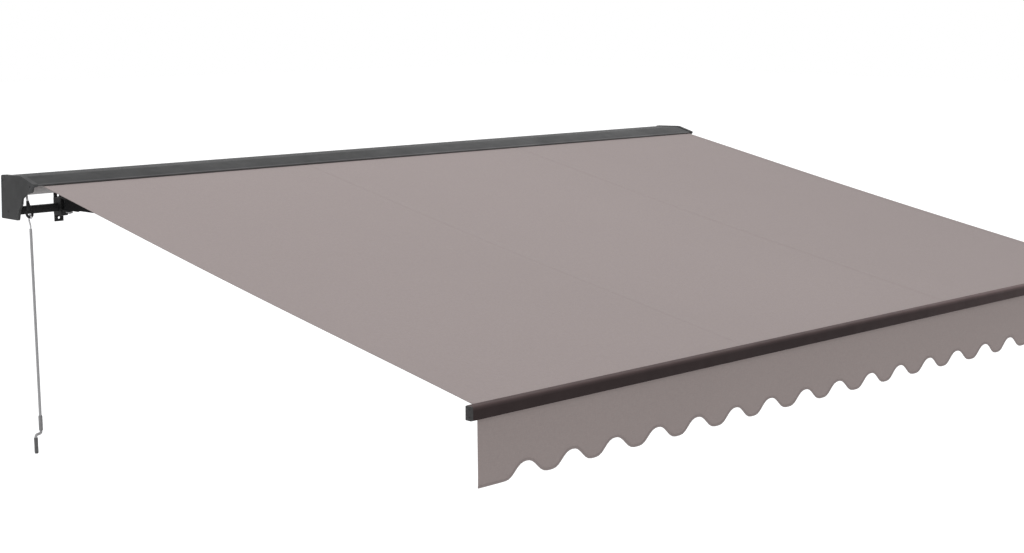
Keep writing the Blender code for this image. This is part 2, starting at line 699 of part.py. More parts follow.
def make_worm_shaft(place, half):
    """Input shaft with a three-start worm, cut as one spindle."""
    rows, sides = 12, 12
    lead = half * 2
    eye_along = (EYE_CENTRE - WORM_CENTRE).dot(SHAFT_UP)
    socket_floor = eye_along + EYE_RING + EYE_WIRE + 0.012
    bm = bmesh.new()
    heights = [socket_floor, -half - 0.0002]
    heights += [-half + 2 * half * i / rows for i in range(rows + 1)]
    heights += [half + 0.0002]
    rings = []
    for height in heights:
        ring = []
        for k in range(sides):
            angle = 2 * pi * k / sides
            wave = cos(WORM_STARTS * angle - 2 * pi * height * WORM_STARTS / lead)
            threaded = -half - 0.0001 < height < half + 0.0001
            radius = WORM_RADIUS - 0.0009 + 0.0009 * wave if threaded else SHAFT_RADIUS
            ring.append(bm.verts.new((radius * cos(angle), radius * sin(angle), height)))
        rings.append(ring)
    for one, two in zip(rings, rings[1:]):
        for k in range(sides):
            bm.faces.new((one[k - 1], one[k], two[k], two[k - 1]))
    bm.faces.new(rings[0])
    bm.faces.new(rings[-1])
    object_of("worm_shaft", bm, place, ZINC)


def make_eye():
    """Cast eye on the input shaft: a tapered socket that runs down into the crank ring."""
    ring_frame = frame_of(EYE_CENTRE, SHAFT_UP, SHAFT_FRONT)
    major, minor = 16, 8
    bm = bmesh.new()
    rings = []
    for i in range(major):
        a = 2 * pi * i / major
        ring = []
        for k in range(minor):
            b = 2 * pi * k / minor
            radius = EYE_RING + EYE_WIRE * cos(b)
            ring.append(bm.verts.new((radius * cos(a), radius * sin(a), EYE_WIRE * sin(b))))
        rings.append(ring)
    for i in range(major):
        for k in range(minor):
            bm.faces.new((rings[i - 1][k - 1], rings[i - 1][k], rings[i][k], rings[i][k - 1]))
    eye = object_of("drive_eye", bm, ring_frame, BLACK_STEEL)
    socket_low = EYE_RING
    socket_top = EYE_RING + EYE_WIRE + 0.034
    floor = EYE_RING + EYE_WIRE + 0.012 - GAP
    bore = SHAFT_RADIUS + GAP
    profile = [
        (0, socket_low),
        (0.0080, socket_low),
        (0.0085, socket_low + 0.006),
        (0.0080, socket_low + 0.019),
        (bore + 0.0008, socket_top),
        (bore, socket_top),
        (bore, floor),
        (0, floor),
    ]
    socket = turned("drive_eye_socket", profile, pin_frame(EYE_CENTRE, SHAFT_UP), None, 16)
    join(eye, socket)


def crank_place():
    """The hanging crank's frame: it leans away from its arm, whose weight pulls it over."""
    lean = Matrix.Rotation(CRANK_LEAN, 4, Vector((0, 0, 1)).cross(CRANK_WAY))
    return Matrix.Translation(HOOK_PIVOT) @ lean


def make_crank():
    """Hand crank that hangs from the eye: hook, cranked rod, fixed sleeve and turning grip."""
    inner = HOOK_WIRE + EYE_WIRE + 0.0005
    arc = [
        (0, -inner * cos(radians(a)), inner * sin(radians(a))) for a in range(-30, 181, 15)
    ]
    shank = [(0, inner, -0.008), (0, inner * 0.85, -0.016), (0, inner * 0.4, -0.025)]
    foot = HOOK_LENGTH
    shank += [(0, 0, -0.032), (0, 0, -foot)]
    place = crank_place()
    rope("crank_hook", arc + shank, HOOK_WIRE, ZINC, place, 2)
    bend = 0.008
    way = CRANK_WAY
    bottom = -CRANK_LENGTH
    route = [(0, -foot - GAP)]
    for k in range(5):
        a = pi / 2 * k / 4
        route.append((bend * (1 - cos(a)), bottom + bend * (1 - sin(a))))
    for k in range(5):
        a = pi / 2 * k / 4
        route.append((CRANK_ARM - bend * (1 - sin(a)), bottom - bend * (1 - cos(a))))
    route.append((CRANK_ARM, bottom - bend - GRIP_LENGTH - 0.002))
    points = [(way.x * out, way.y * out, z) for out, z in route]
    rope("crank_rod", points, CRANK_RADIUS, CRANK_GREY, place, 2)
    top = bottom - bend - 0.002
    grip_at = place @ Matrix.Translation(way * CRANK_ARM)
    bore = CRANK_RADIUS + GAP
    profile = [
        (bore, top),
        (GRIP_RADIUS * 0.9, top),
        (GRIP_RADIUS, top - 0.004),
        (GRIP_RADIUS * 0.93, top - GRIP_LENGTH * 0.45),
        (GRIP_RADIUS, top - GRIP_LENGTH + 0.006),
        (GRIP_RADIUS * 0.85, top - GRIP_LENGTH),
        (bore, top - GRIP_LENGTH),
    ]
    turned("crank_grip", profile, grip_at, GEAR_PLASTIC, 14, closed=True)
    low = bottom + bend + 0.003
    high = low + SLEEVE_LENGTH
    sleeve = [
        (bore, low),
        (SLEEVE_RADIUS * 0.92, low),
        (SLEEVE_RADIUS, low + 0.003),
        (SLEEVE_RADIUS, high - 0.003),
        (SLEEVE_RADIUS * 0.85, high),
        (bore, high),
    ]
    turned("crank_sleeve", sleeve, place, GEAR_PLASTIC, 14, closed=True)


def arm_direction(side, angle):
    """Direction in the arms' plane, turned inwards from straight down the slope."""
    return DOWN_SLOPE * cos(angle) - Vector((side * sin(angle), 0, 0))


def arm_points(side):
    shoulder = Vector((side * SHOULDER_X, SHOULDER_Y, ARM_SHOULDER_Z))
    elbow = shoulder + arm_direction(side, REST_ANGLE) * ARM_LENGTH
    wrist = shoulder + DOWN_SLOPE * REACH
    return shoulder, elbow, wrist


def arm_frames(side):
    """Frames with x along each tube: the rear one starts at the shoulder, the fore one at the elbow."""
    shoulder, elbow, wrist = arm_points(side)
    flip = -side
    lean = Matrix.Rotation(flip * OFFSET_ANGLE, 3, ARM_NORMAL)
    rear = frame_of(shoulder, lean @ (elbow - shoulder), ARM_NORMAL)
    fore = frame_of(elbow, lean.inverted() @ (wrist - elbow), ARM_NORMAL)
    return rear, fore


def mirrored(points, flip):
    return [(x, y * flip) for x, y in points]


def make_arm_bracket(side):
    """Cast bracket clamped round the torsion bar, with the fork that holds the shoulder."""
    half = BAR_SIZE / 2 + GAP
    outer = side * (SHOULDER_X + 0.0195)
    inner = side * (SHOULDER_X - 0.0110)
    hub_back = SHOULDER_Y + SHOULDER_HUB + 0.003
    clamp_back = -BAR_FROM_WALL + half + ARM_CLAMP_WALL
    outline = rounded(
        [
            (clamp_back, -ARM_CLAMP_BOTTOM),
            (clamp_back, ARM_CLAMP_TOP),
            (hub_back, ARM_CLAMP_TOP),
            (hub_back, -ARM_CLAMP_BOTTOM),
        ],
        0.005,
        3,
    )
    hole = box_loop(-BAR_FROM_WALL - half, -BAR_FROM_WALL + half, -half, half)
    name = side_name("arm_bracket", side)
    low, high = min(outer, inner), max(outer, inner)
    bracket = prism(name, [outline, hole], low, high, ALONG_WALL, BLACK_STEEL)
    shoulder = arm_points(side)[0]
    place = frame_of(shoulder, DOWN_SLOPE, ARM_NORMAL)
    root = hub_back - SHOULDER_Y + 0.010
    ear = [(-root, side * 0.0175), (-root, side * -0.0105)]
    ear += circle((0, 0), SHOULDER_HUB + 0.001, 14, side * radians(-105), side * radians(105))
    bottom, top = SHOULDER_HALF + GAP, SHOULDER_EAR_TOP
    for label, z0, z1 in (("upper", bottom, top), ("lower", -top, -bottom)):
        join(bracket, prism(name + "_ear_" + label, [ear], z0, z1, place))
    cut(bracket, rod(name + "_bore", PIN_RADIUS + GAP, -top * 1.3, top * 1.3, place))
    make_pin(side_name("shoulder_pin", side), place, SHOULDER_EAR_TOP)


def make_pin(name, place, half):
    """Headed pin that runs through a fork, with a snap head at each end."""
    seat = half + GAP
    end = seat + PIN_HEAD_HEIGHT
    profile = [
        (0, -end),
        (PIN_HEAD * 0.8, -end),
        (PIN_HEAD, -end + 0.001),
        (PIN_HEAD, -seat),
        (PIN_RADIUS, -seat),
        (PIN_RADIUS, seat),
        (PIN_HEAD, seat),
        (PIN_HEAD, end - 0.001),
        (PIN_HEAD * 0.8, end),
        (0, end),
    ]
    turned(name, profile, place, ZINC, 12)


def make_plug(name, tube, x0, x1, along):
    """Rounded block that fills the end of a tube, extruded along it."""
    w, h = tube[0] / 2 - TUBE_WALL - GAP, tube[1] / 2 - TUBE_WALL - GAP
    loop = rounded(box_loop(-w, w, -h, h), TUBE_CORNER - TUBE_WALL, 2)
    return prism(name + "_plug", [loop], x0, x1, along)


def make_rear_arm(side):
    """Rear arm: shoulder knuckle, extruded tube and elbow fork, in the frame of the tube."""
    frame = arm_frames(side)[0]
    flip = -side
    width, height = REAR_TUBE
    tube_start, tube_end = SHOULDER_CASTING, TUBE_REACH - ELBOW_FORK_CASTING
    along = frame @ Matrix(((0, 0, 1, 0), (1, 0, 0, 0), (0, 1, 0, 0), (0, 0, 0, 1)))
    name = side_name("rear_tube", side)
    loops = tube_loops(width, height, TUBE_WALL, TUBE_CORNER)
    prism(name, loops, tube_start, tube_end, along, BLACK_STEEL)

    name = side_name("shoulder_knuckle", side)
    sleeve_start, sleeve_end = 0.046, tube_start - GAP
    hub = circle((0, 0), SHOULDER_HUB, 14, radians(70), radians(290))
    hub += [(sleeve_start + 0.004, -width / 2 + 0.001), (sleeve_start + 0.004, width / 2 - 0.001)]
    knuckle = prism(name, [hub], -SHOULDER_HALF, SHOULDER_HALF, frame, BLACK_STEEL)
    sleeve = rounded(box_loop(-width / 2, width / 2, -height / 2, height / 2), TUBE_CORNER, 2)
    join(
        knuckle,
        prism(name + "_sleeve", [sleeve], sleeve_start, sleeve_end, along),
        make_plug(name, REAR_TUBE, sleeve_end - 0.010, tube_start + PLUG_DEPTH, along),
    )
    cut(knuckle, rod(name + "_bore", PIN_RADIUS + GAP, -height, height, frame))
    make_elbow_fork(side, frame, along, flip, tube_end, sleeve)


def make_elbow_fork(side, frame, along, flip, tube_end, sleeve):
    """Forked casting in the rear tube's end. The pin stands off the tube's centre line."""
    width, height = REAR_TUBE
    pin = (TUBE_REACH, -ARM_OFFSET)
    name = side_name("elbow_fork", side)
    start = tube_end + GAP
    ear = circle(pin, ELBOW_HUB + 0.0005, 12, radians(-95), radians(60))
    body = [(start + 0.020, -width / 2 + 0.0005)] + ear + [(start + 0.020, width / 2 - 0.0005)]
    fork = prism(name, [mirrored(body, flip)], -ELBOW_EAR_TOP, ELBOW_EAR_TOP, frame, BLACK_STEEL)
    plug = make_plug(name, REAR_TUBE, tube_end - PLUG_DEPTH, start + 0.010, along)
    join(fork, prism(name + "_sleeve", [sleeve], start, start + 0.026, along), plug)
    slot_half = ELBOW_HALF + GAP * 1.5
    disc = rod(name + "_slot_disc", ELBOW_HUB + 0.003, -slot_half, slot_half,
               frame @ Matrix.Translation((pin[0], flip * pin[1], 0)), None, 14)
    sweep = [
        (pin[0] - 0.080, pin[1] - 0.060),
        (pin[0] + 0.045, pin[1] - 0.060),
        (pin[0] + 0.045, pin[1] + 0.012),
        (pin[0] - 0.018, pin[1] + 0.012),
        (pin[0] - 0.080, pin[1] - 0.003),
    ]
    cut(fork, disc, prism(name + "_slot_sweep", [mirrored(sweep, flip)], -slot_half, slot_half, frame))
    bore_place = frame @ Matrix.Translation((pin[0], flip * pin[1], 0))
    cut(fork, rod(name + "_bore", PIN_RADIUS + GAP, -height, height, bore_place))
    make_pin(side_name("elbow_pin", side), bore_place, ELBOW_EAR_TOP)


def make_fore_arm(side):
    """Fore arm: elbow knuckle, tube with its tension spring, and wrist knuckle."""
    frame = arm_frames(side)[1]
    flip = -side
    width, height = FORE_TUBE
    off = ARM_OFFSET * flip
    tube_start, tube_end = ELBOW_CASTING, TUBE_REACH - WRIST_CASTING
    to_centre = Matrix.Translation((0, off, 0))
    along = frame @ to_centre @ Matrix(((0, 0, 1, 0), (1, 0, 0, 0), (0, 1, 0, 0), (0, 0, 0, 1)))
    loops = tube_loops(width, height, TUBE_WALL, TUBE_CORNER)
    prism(side_name("fore_tube", side), loops, tube_start, tube_end, along, BLACK_STEEL)
    sleeve = rounded(box_loop(-width / 2, width / 2, -height / 2, height / 2), TUBE_CORNER, 2)

    name = side_name("elbow_knuckle", side)
    sleeve_start, sleeve_end = 0.054, tube_start - GAP
    hub = circle((0, 0), ELBOW_HUB, 14, radians(100), radians(275))
    hub += [(sleeve_start + 0.005, ARM_OFFSET - width / 2 + 0.001)]
    hub += [(sleeve_start + 0.005, ARM_OFFSET + width / 2 - 0.001)]
    knuckle = prism(name, [mirrored(hub, flip)], -ELBOW_HALF, ELBOW_HALF, frame, BLACK_STEEL)
    join(
        knuckle,
        prism(name + "_sleeve", [sleeve], sleeve_start, sleeve_end, along),
        make_plug(name, FORE_TUBE, sleeve_end - 0.010, tube_start + PLUG_DEPTH, along),
    )
    cut(knuckle, rod(name + "_bore", PIN_RADIUS + GAP, -height, height, frame))

    name = side_name("wrist_knuckle", side)
    start = tube_end + GAP
    wrist = (TUBE_REACH, off)
    hub = circle(wrist, WRIST_HUB, 14, radians(-110), radians(110))
    hub += [(start + 0.012, off + width / 2 - 0.001), (start + 0.012, off - width / 2 + 0.001)]
    knuckle = prism(name, [hub], -WRIST_HALF, WRIST_HALF, frame, BLACK_STEEL)
    join(
        knuckle,
        prism(name + "_sleeve", [sleeve], start, start + 0.020, along),
        make_plug(name, FORE_TUBE, tube_end - PLUG_DEPTH, start + 0.010, along),
    )
    wrist_place = frame @ Matrix.Translation((TUBE_REACH, off, 0))
    cut(knuckle, rod(name + "_bore", PIN_RADIUS + GAP, -height, height, wrist_place))
    make_arm_spring(side, along)


def make_arm_spring(side, along):
    """Tension spring in the fore tube, which pulls the arm open."""
    outer = FORE_TUBE[0] / 2 - TUBE_WALL - GAP
    wire = 0.0016
    length = ARM_LENGTH * SPRING_SHARE
    start = TUBE_REACH / 2 - length / 2
    steps, sides = 4, 5
    rows = SPRING_COILS * steps
    bm = bmesh.new()
    rings = []
    for i in range(rows + 1):
        height = start + length * i / rows
        ring = []
        for k in range(sides):
            angle = 2 * pi * k / sides
            wave = cos(2 * pi * i / steps - angle)
            radius = outer - wire + wire * wave
            ring.append(bm.verts.new((radius * cos(angle), radius * sin(angle), height)))
        rings.append(ring)
    for one, two in zip(rings, rings[1:]):
        for k in range(sides):
            bm.faces.new((one[k - 1], one[k], two[k], two[k - 1]))
    bm.faces.new(rings[0])
    bm.faces.new(rings[-1])
    object_of(side_name("arm_spring", side), bm, along, SPRING_STEEL)


def make_wrist_bracket(side):
    """Bracket on the back of the front bar, with the fork for the wrist."""
    wrist = arm_points(side)[2]
    place = frame_of(wrist, DOWN_SLOPE, ARM_NORMAL)
    name = side_name("wrist_bracket", side)
    plate_back = BAR_BACK_Y + GAP
    plate = rounded(
        box_loop(
            wrist.x - 0.028,
            wrist.x + 0.028,
            FRONT_BAR_BOTTOM_Z + 0.001,
            FRONT_BAR_TOP_Z - 0.0085,
        ),
        0.004,
        3,
    )
    upright = frame_of((0, plate_back, 0), (1, 0, 0), (0, -1, 0))
    bracket = prism(name, [plate], -0.0055, 0, upright, BLACK_STEEL)
    bottom, top = WRIST_HALF + GAP, WRIST_EAR_TOP
    for label, z0, z1 in (("upper", bottom, top), ("lower", -top, -bottom)):
        reach = (wrist.y - plate_back - 0.001 - z1 * sin(ARM_SLOPE)) / cos(ARM_SLOPE)
        ear = circle((0, 0), WRIST_HUB + 0.001, 12, radians(105), radians(255))
        ear += [(reach, -0.022), (reach, 0.022)]
        join(bracket, prism(name + "_ear_" + label, [ear], z0, z1, place))
    cut(bracket, rod(name + "_bore", PIN_RADIUS + GAP, -top * 1.3, top * 1.3, place))
    make_pin(side_name("wrist_pin", side), place, WRIST_EAR_TOP)


def front_bar_loops():
    """Extruded section with a keder groove at the top back and one in the bottom."""
    back, front = BAR_BACK_Y, FRONT_FACE_Y
    top, bottom = FRONT_BAR_TOP_Z, FRONT_BAR_BOTTOM_Z
    mouth = FABRIC_THICKNESS / 2 + 0.0010
    slot_z = fabric_z(back) - FABRIC_THICKNESS / 2
    canopy_groove = (back - KEDER_RADIUS - 0.0030, slot_z - 0.0013)
    valance_groove = ((back + front) / 2, bottom + KEDER_RADIUS + 0.0024)
    open_angle = asin(mouth / KEDER_RADIUS)
    lean = FABRIC_SLOPE
    upper = circle(canopy_groove, KEDER_RADIUS, 12, lean + open_angle, lean + 2 * pi - open_angle)
    mouth_z = canopy_groove[1] + (back - canopy_groove[0]) * SLOPE_RATE
    lower = circle(valance_groove, KEDER_RADIUS, 12, open_angle - pi / 2, 1.5 * pi - open_angle)
    nose = rounded([(back, top), (front, top), (front, bottom)], [0, 0.007, 0], 4, closed=False)
    toe = rounded([(front, top), (front, bottom), (back, bottom)], [0, 0.004, 0], 4, closed=False)
    outer = [(back, mouth_z + mouth), (back, top)] + nose[1:-1] + toe[1:-1]
    outer += [(valance_groove[0] - mouth, bottom)] + lower[::-1]
    outer += [(valance_groove[0] + mouth, bottom), (back, bottom)]
    outer += [(back, mouth_z - mouth)] + upper[::-1]
    wall = FRONT_BAR_WALL
    void_top = canopy_groove[1] - KEDER_RADIUS - wall
    void_bottom = valance_groove[1] + KEDER_RADIUS + wall
    void = rounded(box_loop(front + wall, back - wall, void_bottom, void_top), 0.002, 2)
    return [outer, void], canopy_groove, valance_groove


def make_front_bar():
    """Front bar, its two end caps and the valance that hangs in its lower groove."""
    loops, canopy_groove, valance_groove = front_bar_loops()
    half = HALF_FABRIC + FRONT_BAR_OVERHANG
    prism("front_bar", loops, -half, half, ALONG_WALL, BAR_BROWN)
    back, front = BAR_BACK_Y, FRONT_FACE_Y
    top, bottom = FRONT_BAR_TOP_Z, FRONT_BAR_BOTTOM_Z
    face = rounded(
        [(back, bottom), (back, top), (front, top), (front, bottom)],
        [0.002, 0.002, 0.007, 0.004],
        4,
    )
    void = shrink(loops[1], GAP)
    for side in (-1, 1):
        x0, x1 = side * (half + GAP), side * (half + GAP + FRONT_CAP)
        name = side_name("front_bar_cap", side)
        cap = prism(name, [face], min(x0, x1), max(x0, x1), ALONG_WALL, BAR_CAP)
        tongue_end = side * (half - 0.020)
        root = side * (half + GAP + FRONT_CAP / 2)
        low, high = min(tongue_end, root), max(tongue_end, root)
        join(cap, prism(name + "_tongue", [void], low, high, ALONG_WALL))
    make_valance(valance_groove)
    make_canopy(canopy_groove)


def valance_edge(x):
    """Height of the scalloped hem at a distance from the valance's left edge."""
    hem = FRONT_BAR_BOTTOM_Z - VALANCE_DROP
    inside = min(x, FABRIC_WIDTH - x)
    if inside < VALANCE_PITCH / 2:
        return hem
    return hem + VALANCE_WAVE * (1 + cos(2 * pi * inside / VALANCE_PITCH)) / 2


def make_valance(groove):
    """Scalloped cloth strip with a welted top edge held in the front bar's groove."""
    half = FABRIC_THICKNESS / 2
    bead = KEDER_RADIUS - GAP - 0.0005
    count = ceil(FABRIC_WIDTH / VALANCE_PITCH * 5)
    along = [FABRIC_WIDTH * i / count for i in range(count + 1)]
    hem = [(x - HALF_FABRIC, valance_edge(x)) for x in along]
    outline = hem + [(HALF_FABRIC, groove[1]), (-HALF_FABRIC, groove[1])]
    place = frame_of((0, groove[0], 0), (1, 0, 0), (0, -1, 0))
    valance = prism("valance", [outline], -half, half, place, CANOPY_CLOTH)
    welt = Matrix.Translation((0, groove[0], groove[1])) @ ALONG_WALL
    join(valance, rod("valance_welt", bead, -HALF_FABRIC, HALF_FABRIC, welt, None, 8))


def make_canopy(groove):
    """Canopy sheet from the top of the roll to the welt in the front bar."""
    normal = Vector((-sin(FABRIC_SLOPE), cos(FABRIC_SLOPE)))
    axis = Vector((ROLLER_Y, ROLLER_Z))
    start = axis + normal * (ROLL_RADIUS + GAP)
    end = Vector(groove)
    across = (end - start).normalized()
    up = Vector((across.y, -across.x))
    if up.y < 0:
        up = -up
    low = start
    outline = [low, end - up * FABRIC_THICKNESS / 2, end + up * FABRIC_THICKNESS / 2]
    outline += [low + up * FABRIC_THICKNESS]
    canopy = prism(
        "canopy", [[tuple(p) for p in outline]], -HALF_FABRIC, HALF_FABRIC, ALONG_WALL, CANOPY_CLOTH
    )
    welt = Matrix.Translation((0, groove[0], groove[1])) @ ALONG_WALL
    bead = KEDER_RADIUS - GAP - 0.0005
    join(canopy, rod("canopy_welt", bead, -HALF_FABRIC, HALF_FABRIC, welt, None, 8))


def joint_empty(name, origin, axis, nodes, parent=None):
    """An empty on the joint's axis that carries the pieces which move together."""
    empty = bpy.data.objects.new(name, None)
    empty.empty_display_size = 0.05
    empty.matrix_world = pin_frame(origin, axis)
    bpy.context.scene.collection.objects.link(empty)
    if parent:
        attach(empty, parent)
    for node in nodes:
        attach(bpy.data.objects[node], empty)
    return empty


def attach(child, parent):
    """Parent an object and keep it where it stands."""
    place = child.matrix_world.copy()
    bpy.context.view_layer.update()
    child.parent = parent
    child.matrix_parent_inverse = parent.matrix_world.inverted()
    child.matrix_world = place


def helpers_of(names):
    """A piece's cutters and added shapes move with it, so they share its parent."""
    found = []
    for name in names:
        target = bpy.data.objects[name]
        found += [change.object.name for change in target.modifiers if change.type == "BOOLEAN"]
    return names + found


REAR_ARM_PIECES = ("rear_tube", "shoulder_knuckle", "elbow_fork", "elbow_pin")
FORE_ARM_PIECES = ("fore_tube", "elbow_knuckle", "wrist_knuckle", "arm_spring")


def make_joints():
    """Parent each moving group to an empty on its own joint axis."""
    for side in (-1, 1):
        shoulder, elbow, wrist = arm_points(side)
        rear = joint_empty(
            side_name("shoulder_axis", side),
            shoulder,
            ARM_NORMAL,
            helpers_of([side_name(n, side) for n in REAR_ARM_PIECES]),
        )
        fore = joint_empty(
            side_name("elbow_axis", side),
            elbow,
            ARM_NORMAL,
            helpers_of([side_name(n, side) for n in FORE_ARM_PIECES]),
            rear,
        )
        rear["range_deg"] = degrees(FOLD_ANGLE)
        fore["range_deg"] = 2 * degrees(FOLD_ANGLE)
        if side < 0:
            beam = ["front_bar", "front_bar_cap_left", "front_bar_cap_right", "valance"]
            beam += ["wrist_bracket_left", "wrist_bracket_right", "wrist_pin_left", "wrist_pin_right"]
            joint_empty("wrist_axis_left", wrist, ARM_NORMAL, helpers_of(beam), fore)
    roller = ["roller_tube", "fabric_roll", "roller_plug_left", "roller_plug_right", "worm_wheel"]
    joint_empty("roller_axis", ROLLER_AXIS, (1, 0, 0), helpers_of(roller))
    drive = joint_empty("drive_axis", EYE_CENTRE, SHAFT_UP, helpers_of(["worm_shaft", "drive_eye"]))
    swung = ["crank_hook", "crank_rod", "crank_sleeve"]
    crank = joint_empty("crank_axis", HOOK_PIVOT, (1, 0, 0), swung, drive)
    place = crank_place()
    up = place.to_3x3() @ Vector((0, 0, 1))
    joint_empty("grip_axis", place @ (CRANK_WAY * CRANK_ARM), up, ["crank_grip"], crank)


def main():
    for old in list(bpy.data.objects):
        bpy.data.objects.remove(old, do_unlink=True)
    make_torsion_bar()
    make_hood()
    for side in (-1, 1):
        make_end_cap(side)
    for word, x in (("left", -BRACKET_X), ("centre", 0.0), ("right", BRACKET_X)):
        make_wall_bracket(word, x)
    for word, share in zip(("left", "centre", "right"), SUPPORT_SHARES):
        make_hood_support(word, FABRIC_WIDTH * share)
    make_roller()
    make_gear()
    make_crank()
    for side in (-1, 1):
        make_arm_bracket(side)
        make_rear_arm(side)
        make_fore_arm(side)
        make_wrist_bracket(side)
    make_front_bar()
    bpy.context.view_layer.update()
    make_joints()


main()
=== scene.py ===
"""Looks of the folding-arm awning: surfaces, cloth, small fittings, studio light and the camera.

Everything is in metres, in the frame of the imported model: X along the wall, the wall at Y = 0,
the front at -Y and +Z up."""

import json
from math import atan2, ceil, cos, hypot, pi, radians, sin, sqrt

import bmesh
import bpy
from mathutils import Matrix, Vector


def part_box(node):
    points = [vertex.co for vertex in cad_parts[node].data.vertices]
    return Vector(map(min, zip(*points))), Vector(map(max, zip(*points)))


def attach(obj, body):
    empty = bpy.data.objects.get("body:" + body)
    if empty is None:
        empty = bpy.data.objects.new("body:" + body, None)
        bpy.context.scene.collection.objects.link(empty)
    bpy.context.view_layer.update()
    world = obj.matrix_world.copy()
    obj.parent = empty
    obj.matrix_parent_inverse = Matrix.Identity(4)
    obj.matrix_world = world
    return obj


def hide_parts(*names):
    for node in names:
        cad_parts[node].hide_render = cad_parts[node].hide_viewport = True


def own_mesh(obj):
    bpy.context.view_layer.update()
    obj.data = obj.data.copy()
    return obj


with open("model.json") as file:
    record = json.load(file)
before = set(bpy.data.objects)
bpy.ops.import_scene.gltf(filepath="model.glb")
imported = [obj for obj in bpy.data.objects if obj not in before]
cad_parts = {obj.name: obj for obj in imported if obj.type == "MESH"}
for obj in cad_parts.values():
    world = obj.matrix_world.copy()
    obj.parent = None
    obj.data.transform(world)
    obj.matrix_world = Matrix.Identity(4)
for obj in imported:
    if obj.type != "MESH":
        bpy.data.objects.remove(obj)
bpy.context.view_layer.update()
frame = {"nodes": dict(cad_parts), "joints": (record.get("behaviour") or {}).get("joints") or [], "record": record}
JOINTS = {joint["name"]: joint for joint in frame["joints"]}
SIDES = ((-1, "left"), (1, "right"))

# Sizes and places shared with the solids
FABRIC_WIDTH = 3.800
HALF = FABRIC_WIDTH / 2
FABRIC_SLOPE = radians(11.16)
ROLL_RADIUS = 0.0310
ROLLER_Y, ROLLER_Z = JOINTS["roller_spin"]["pos_m"][1:]
LIP_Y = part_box("hood_cover")[0].y
BAR_LOW, BAR_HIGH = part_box("front_bar")
VALANCE_LOW, VALANCE_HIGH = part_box("valance")
VALANCE_Y = (VALANCE_LOW.y + VALANCE_HIGH.y) / 2
VALANCE_PITCH = 0.200
VALANCE_WAVE = 0.045

# Smoothing: edges that bend by more than these angles stay sharp
SOLID_CREASE = radians(32)
CLOTH_CREASE = radians(60)
FITTING_CREASE = radians(40)
WELD_DISTANCE = 0.00001

# Cloth, and where its stitching runs
CLOTH = 0.0008
HEM_WIDTH = 0.022
HEM_STITCH = 0.003
SEAM_STITCH = 0.006
STITCH_LENGTH = 0.0045
STITCH_BELOW_BAR = 0.009
ROLL_TURNS = 0.0012

# Canopy: its columns, in from the sides and about the middle of each lap, and its belly
CANOPY_SEAMS = (-HALF / 3, HALF / 3)
CANOPY_SPANS = 64
HEM_COLUMNS = (0.0004, HEM_WIDTH - 0.001, HEM_WIDTH)
LAP_COLUMNS = (-0.0095, -0.0085, 0.0085, 0.0095)
LAP_HALF = 0.009
HEM_MARGIN = 0.0005
DOUBLED = 1.9
WELT_MIDDLE = 0.0034
BELLY_AT_HEMS = 0.0070
BELLY_ADDED = 0.0030
BELLY_POWER = 6
RIPPLE = 0.0010
RIPPLE_RATE = 9.0
RIPPLE_SHIFT = 0.6
LEAD_BEYOND_ROLL = 0.006
TAIL_OUT_OF_BAR = 0.0025
LEAD_ROWS = 4
SHEET_ROWS = 54
TAIL_ROWS = 2

# Valance: the harmonics of its scallops, how low they hang, and its sway as (size, rate, shift)
HEM_SHAPE = (0.0250, 0.0015, -0.0018)
HEM_LOWER = 0.0030
HEM_SLANT = 0.0016
SWAY = ((0.0022, 7.1, 0.4), (0.0014, 15.7, 2.0))
SWAY_DROP = 0.16
SWAY_POWER = 1.4
INTO_WELT = 0.003
COLUMNS_PER_LOBE = 16
VALANCE_ROWS = 12
SLOPE_STEP = 0.001
TAPE_WIDTH = 0.0075
TAPE_BELOW_EDGE = 0.0006
TAPE_THICKNESS = 0.0021
TAPE_ROWS = 2

# Cap screws: offsets along Y and Z from a cap's rear or front and from the hood's top
CAP_SCREW_HEAD = 0.0042
CAP_SCREW_REAR = (0.016, 0.022)
CAP_SCREW_FRONT = (0.030, 0.034)

# Bar cap screws: their heights are shares of the cap's own
BAR_SCREW_HEAD = 0.0030
BAR_SCREW_HEIGHTS = (0.24, 0.78)

# Every screw: lengths, then shares of the head's radius and of its height
SCREW_SUNK = 0.0020
SCREW_HEIGHT = 0.0022
SCREW_SHANK = 0.6
SCREW_RIM = 0.45
SCREW_DOME = 0.55
SCREW_RECESS = (0.16, 0.98)
SCREW_RECESS_FLOOR = 0.62
SCREW_SIDES = 16
WASHER_PROFILE = ((0.0043, 0.0), (0.0078, 0.0), (0.0080, 0.0006), (0.0078, 0.0012), (0.0043, 0.0012))
WASHER_SIDES = 24

# Light, floor and camera
WHITE = (1.0, 1.0, 1.0, 1.0)
SKY = (0.52, 0.52, 0.53, 1.0)
FLOOR_GREYS = ((0.73, 0.73, 0.73, 1.0), (0.76, 0.76, 0.76, 1.0))
FLOOR_GLOW = 0.42
FLOOR_HALF = 60.0
FLOOR_PLACE = (0, -1.3, -2.45)
LAMP_STRENGTH = 1.55
LAMP_ANGLE = radians(24)
LAMP_TURN = (radians(-3), radians(3), 0)
CAMERA_PLACE = (-5.3694, -6.2098, 0.7956)
CAMERA_TURN = (radians(90 - 8.79), 0, radians(-45))
CAMERA_LENS = 62.73
CAMERA_SENSOR = 36.0
CAMERA_REACH = 200.0


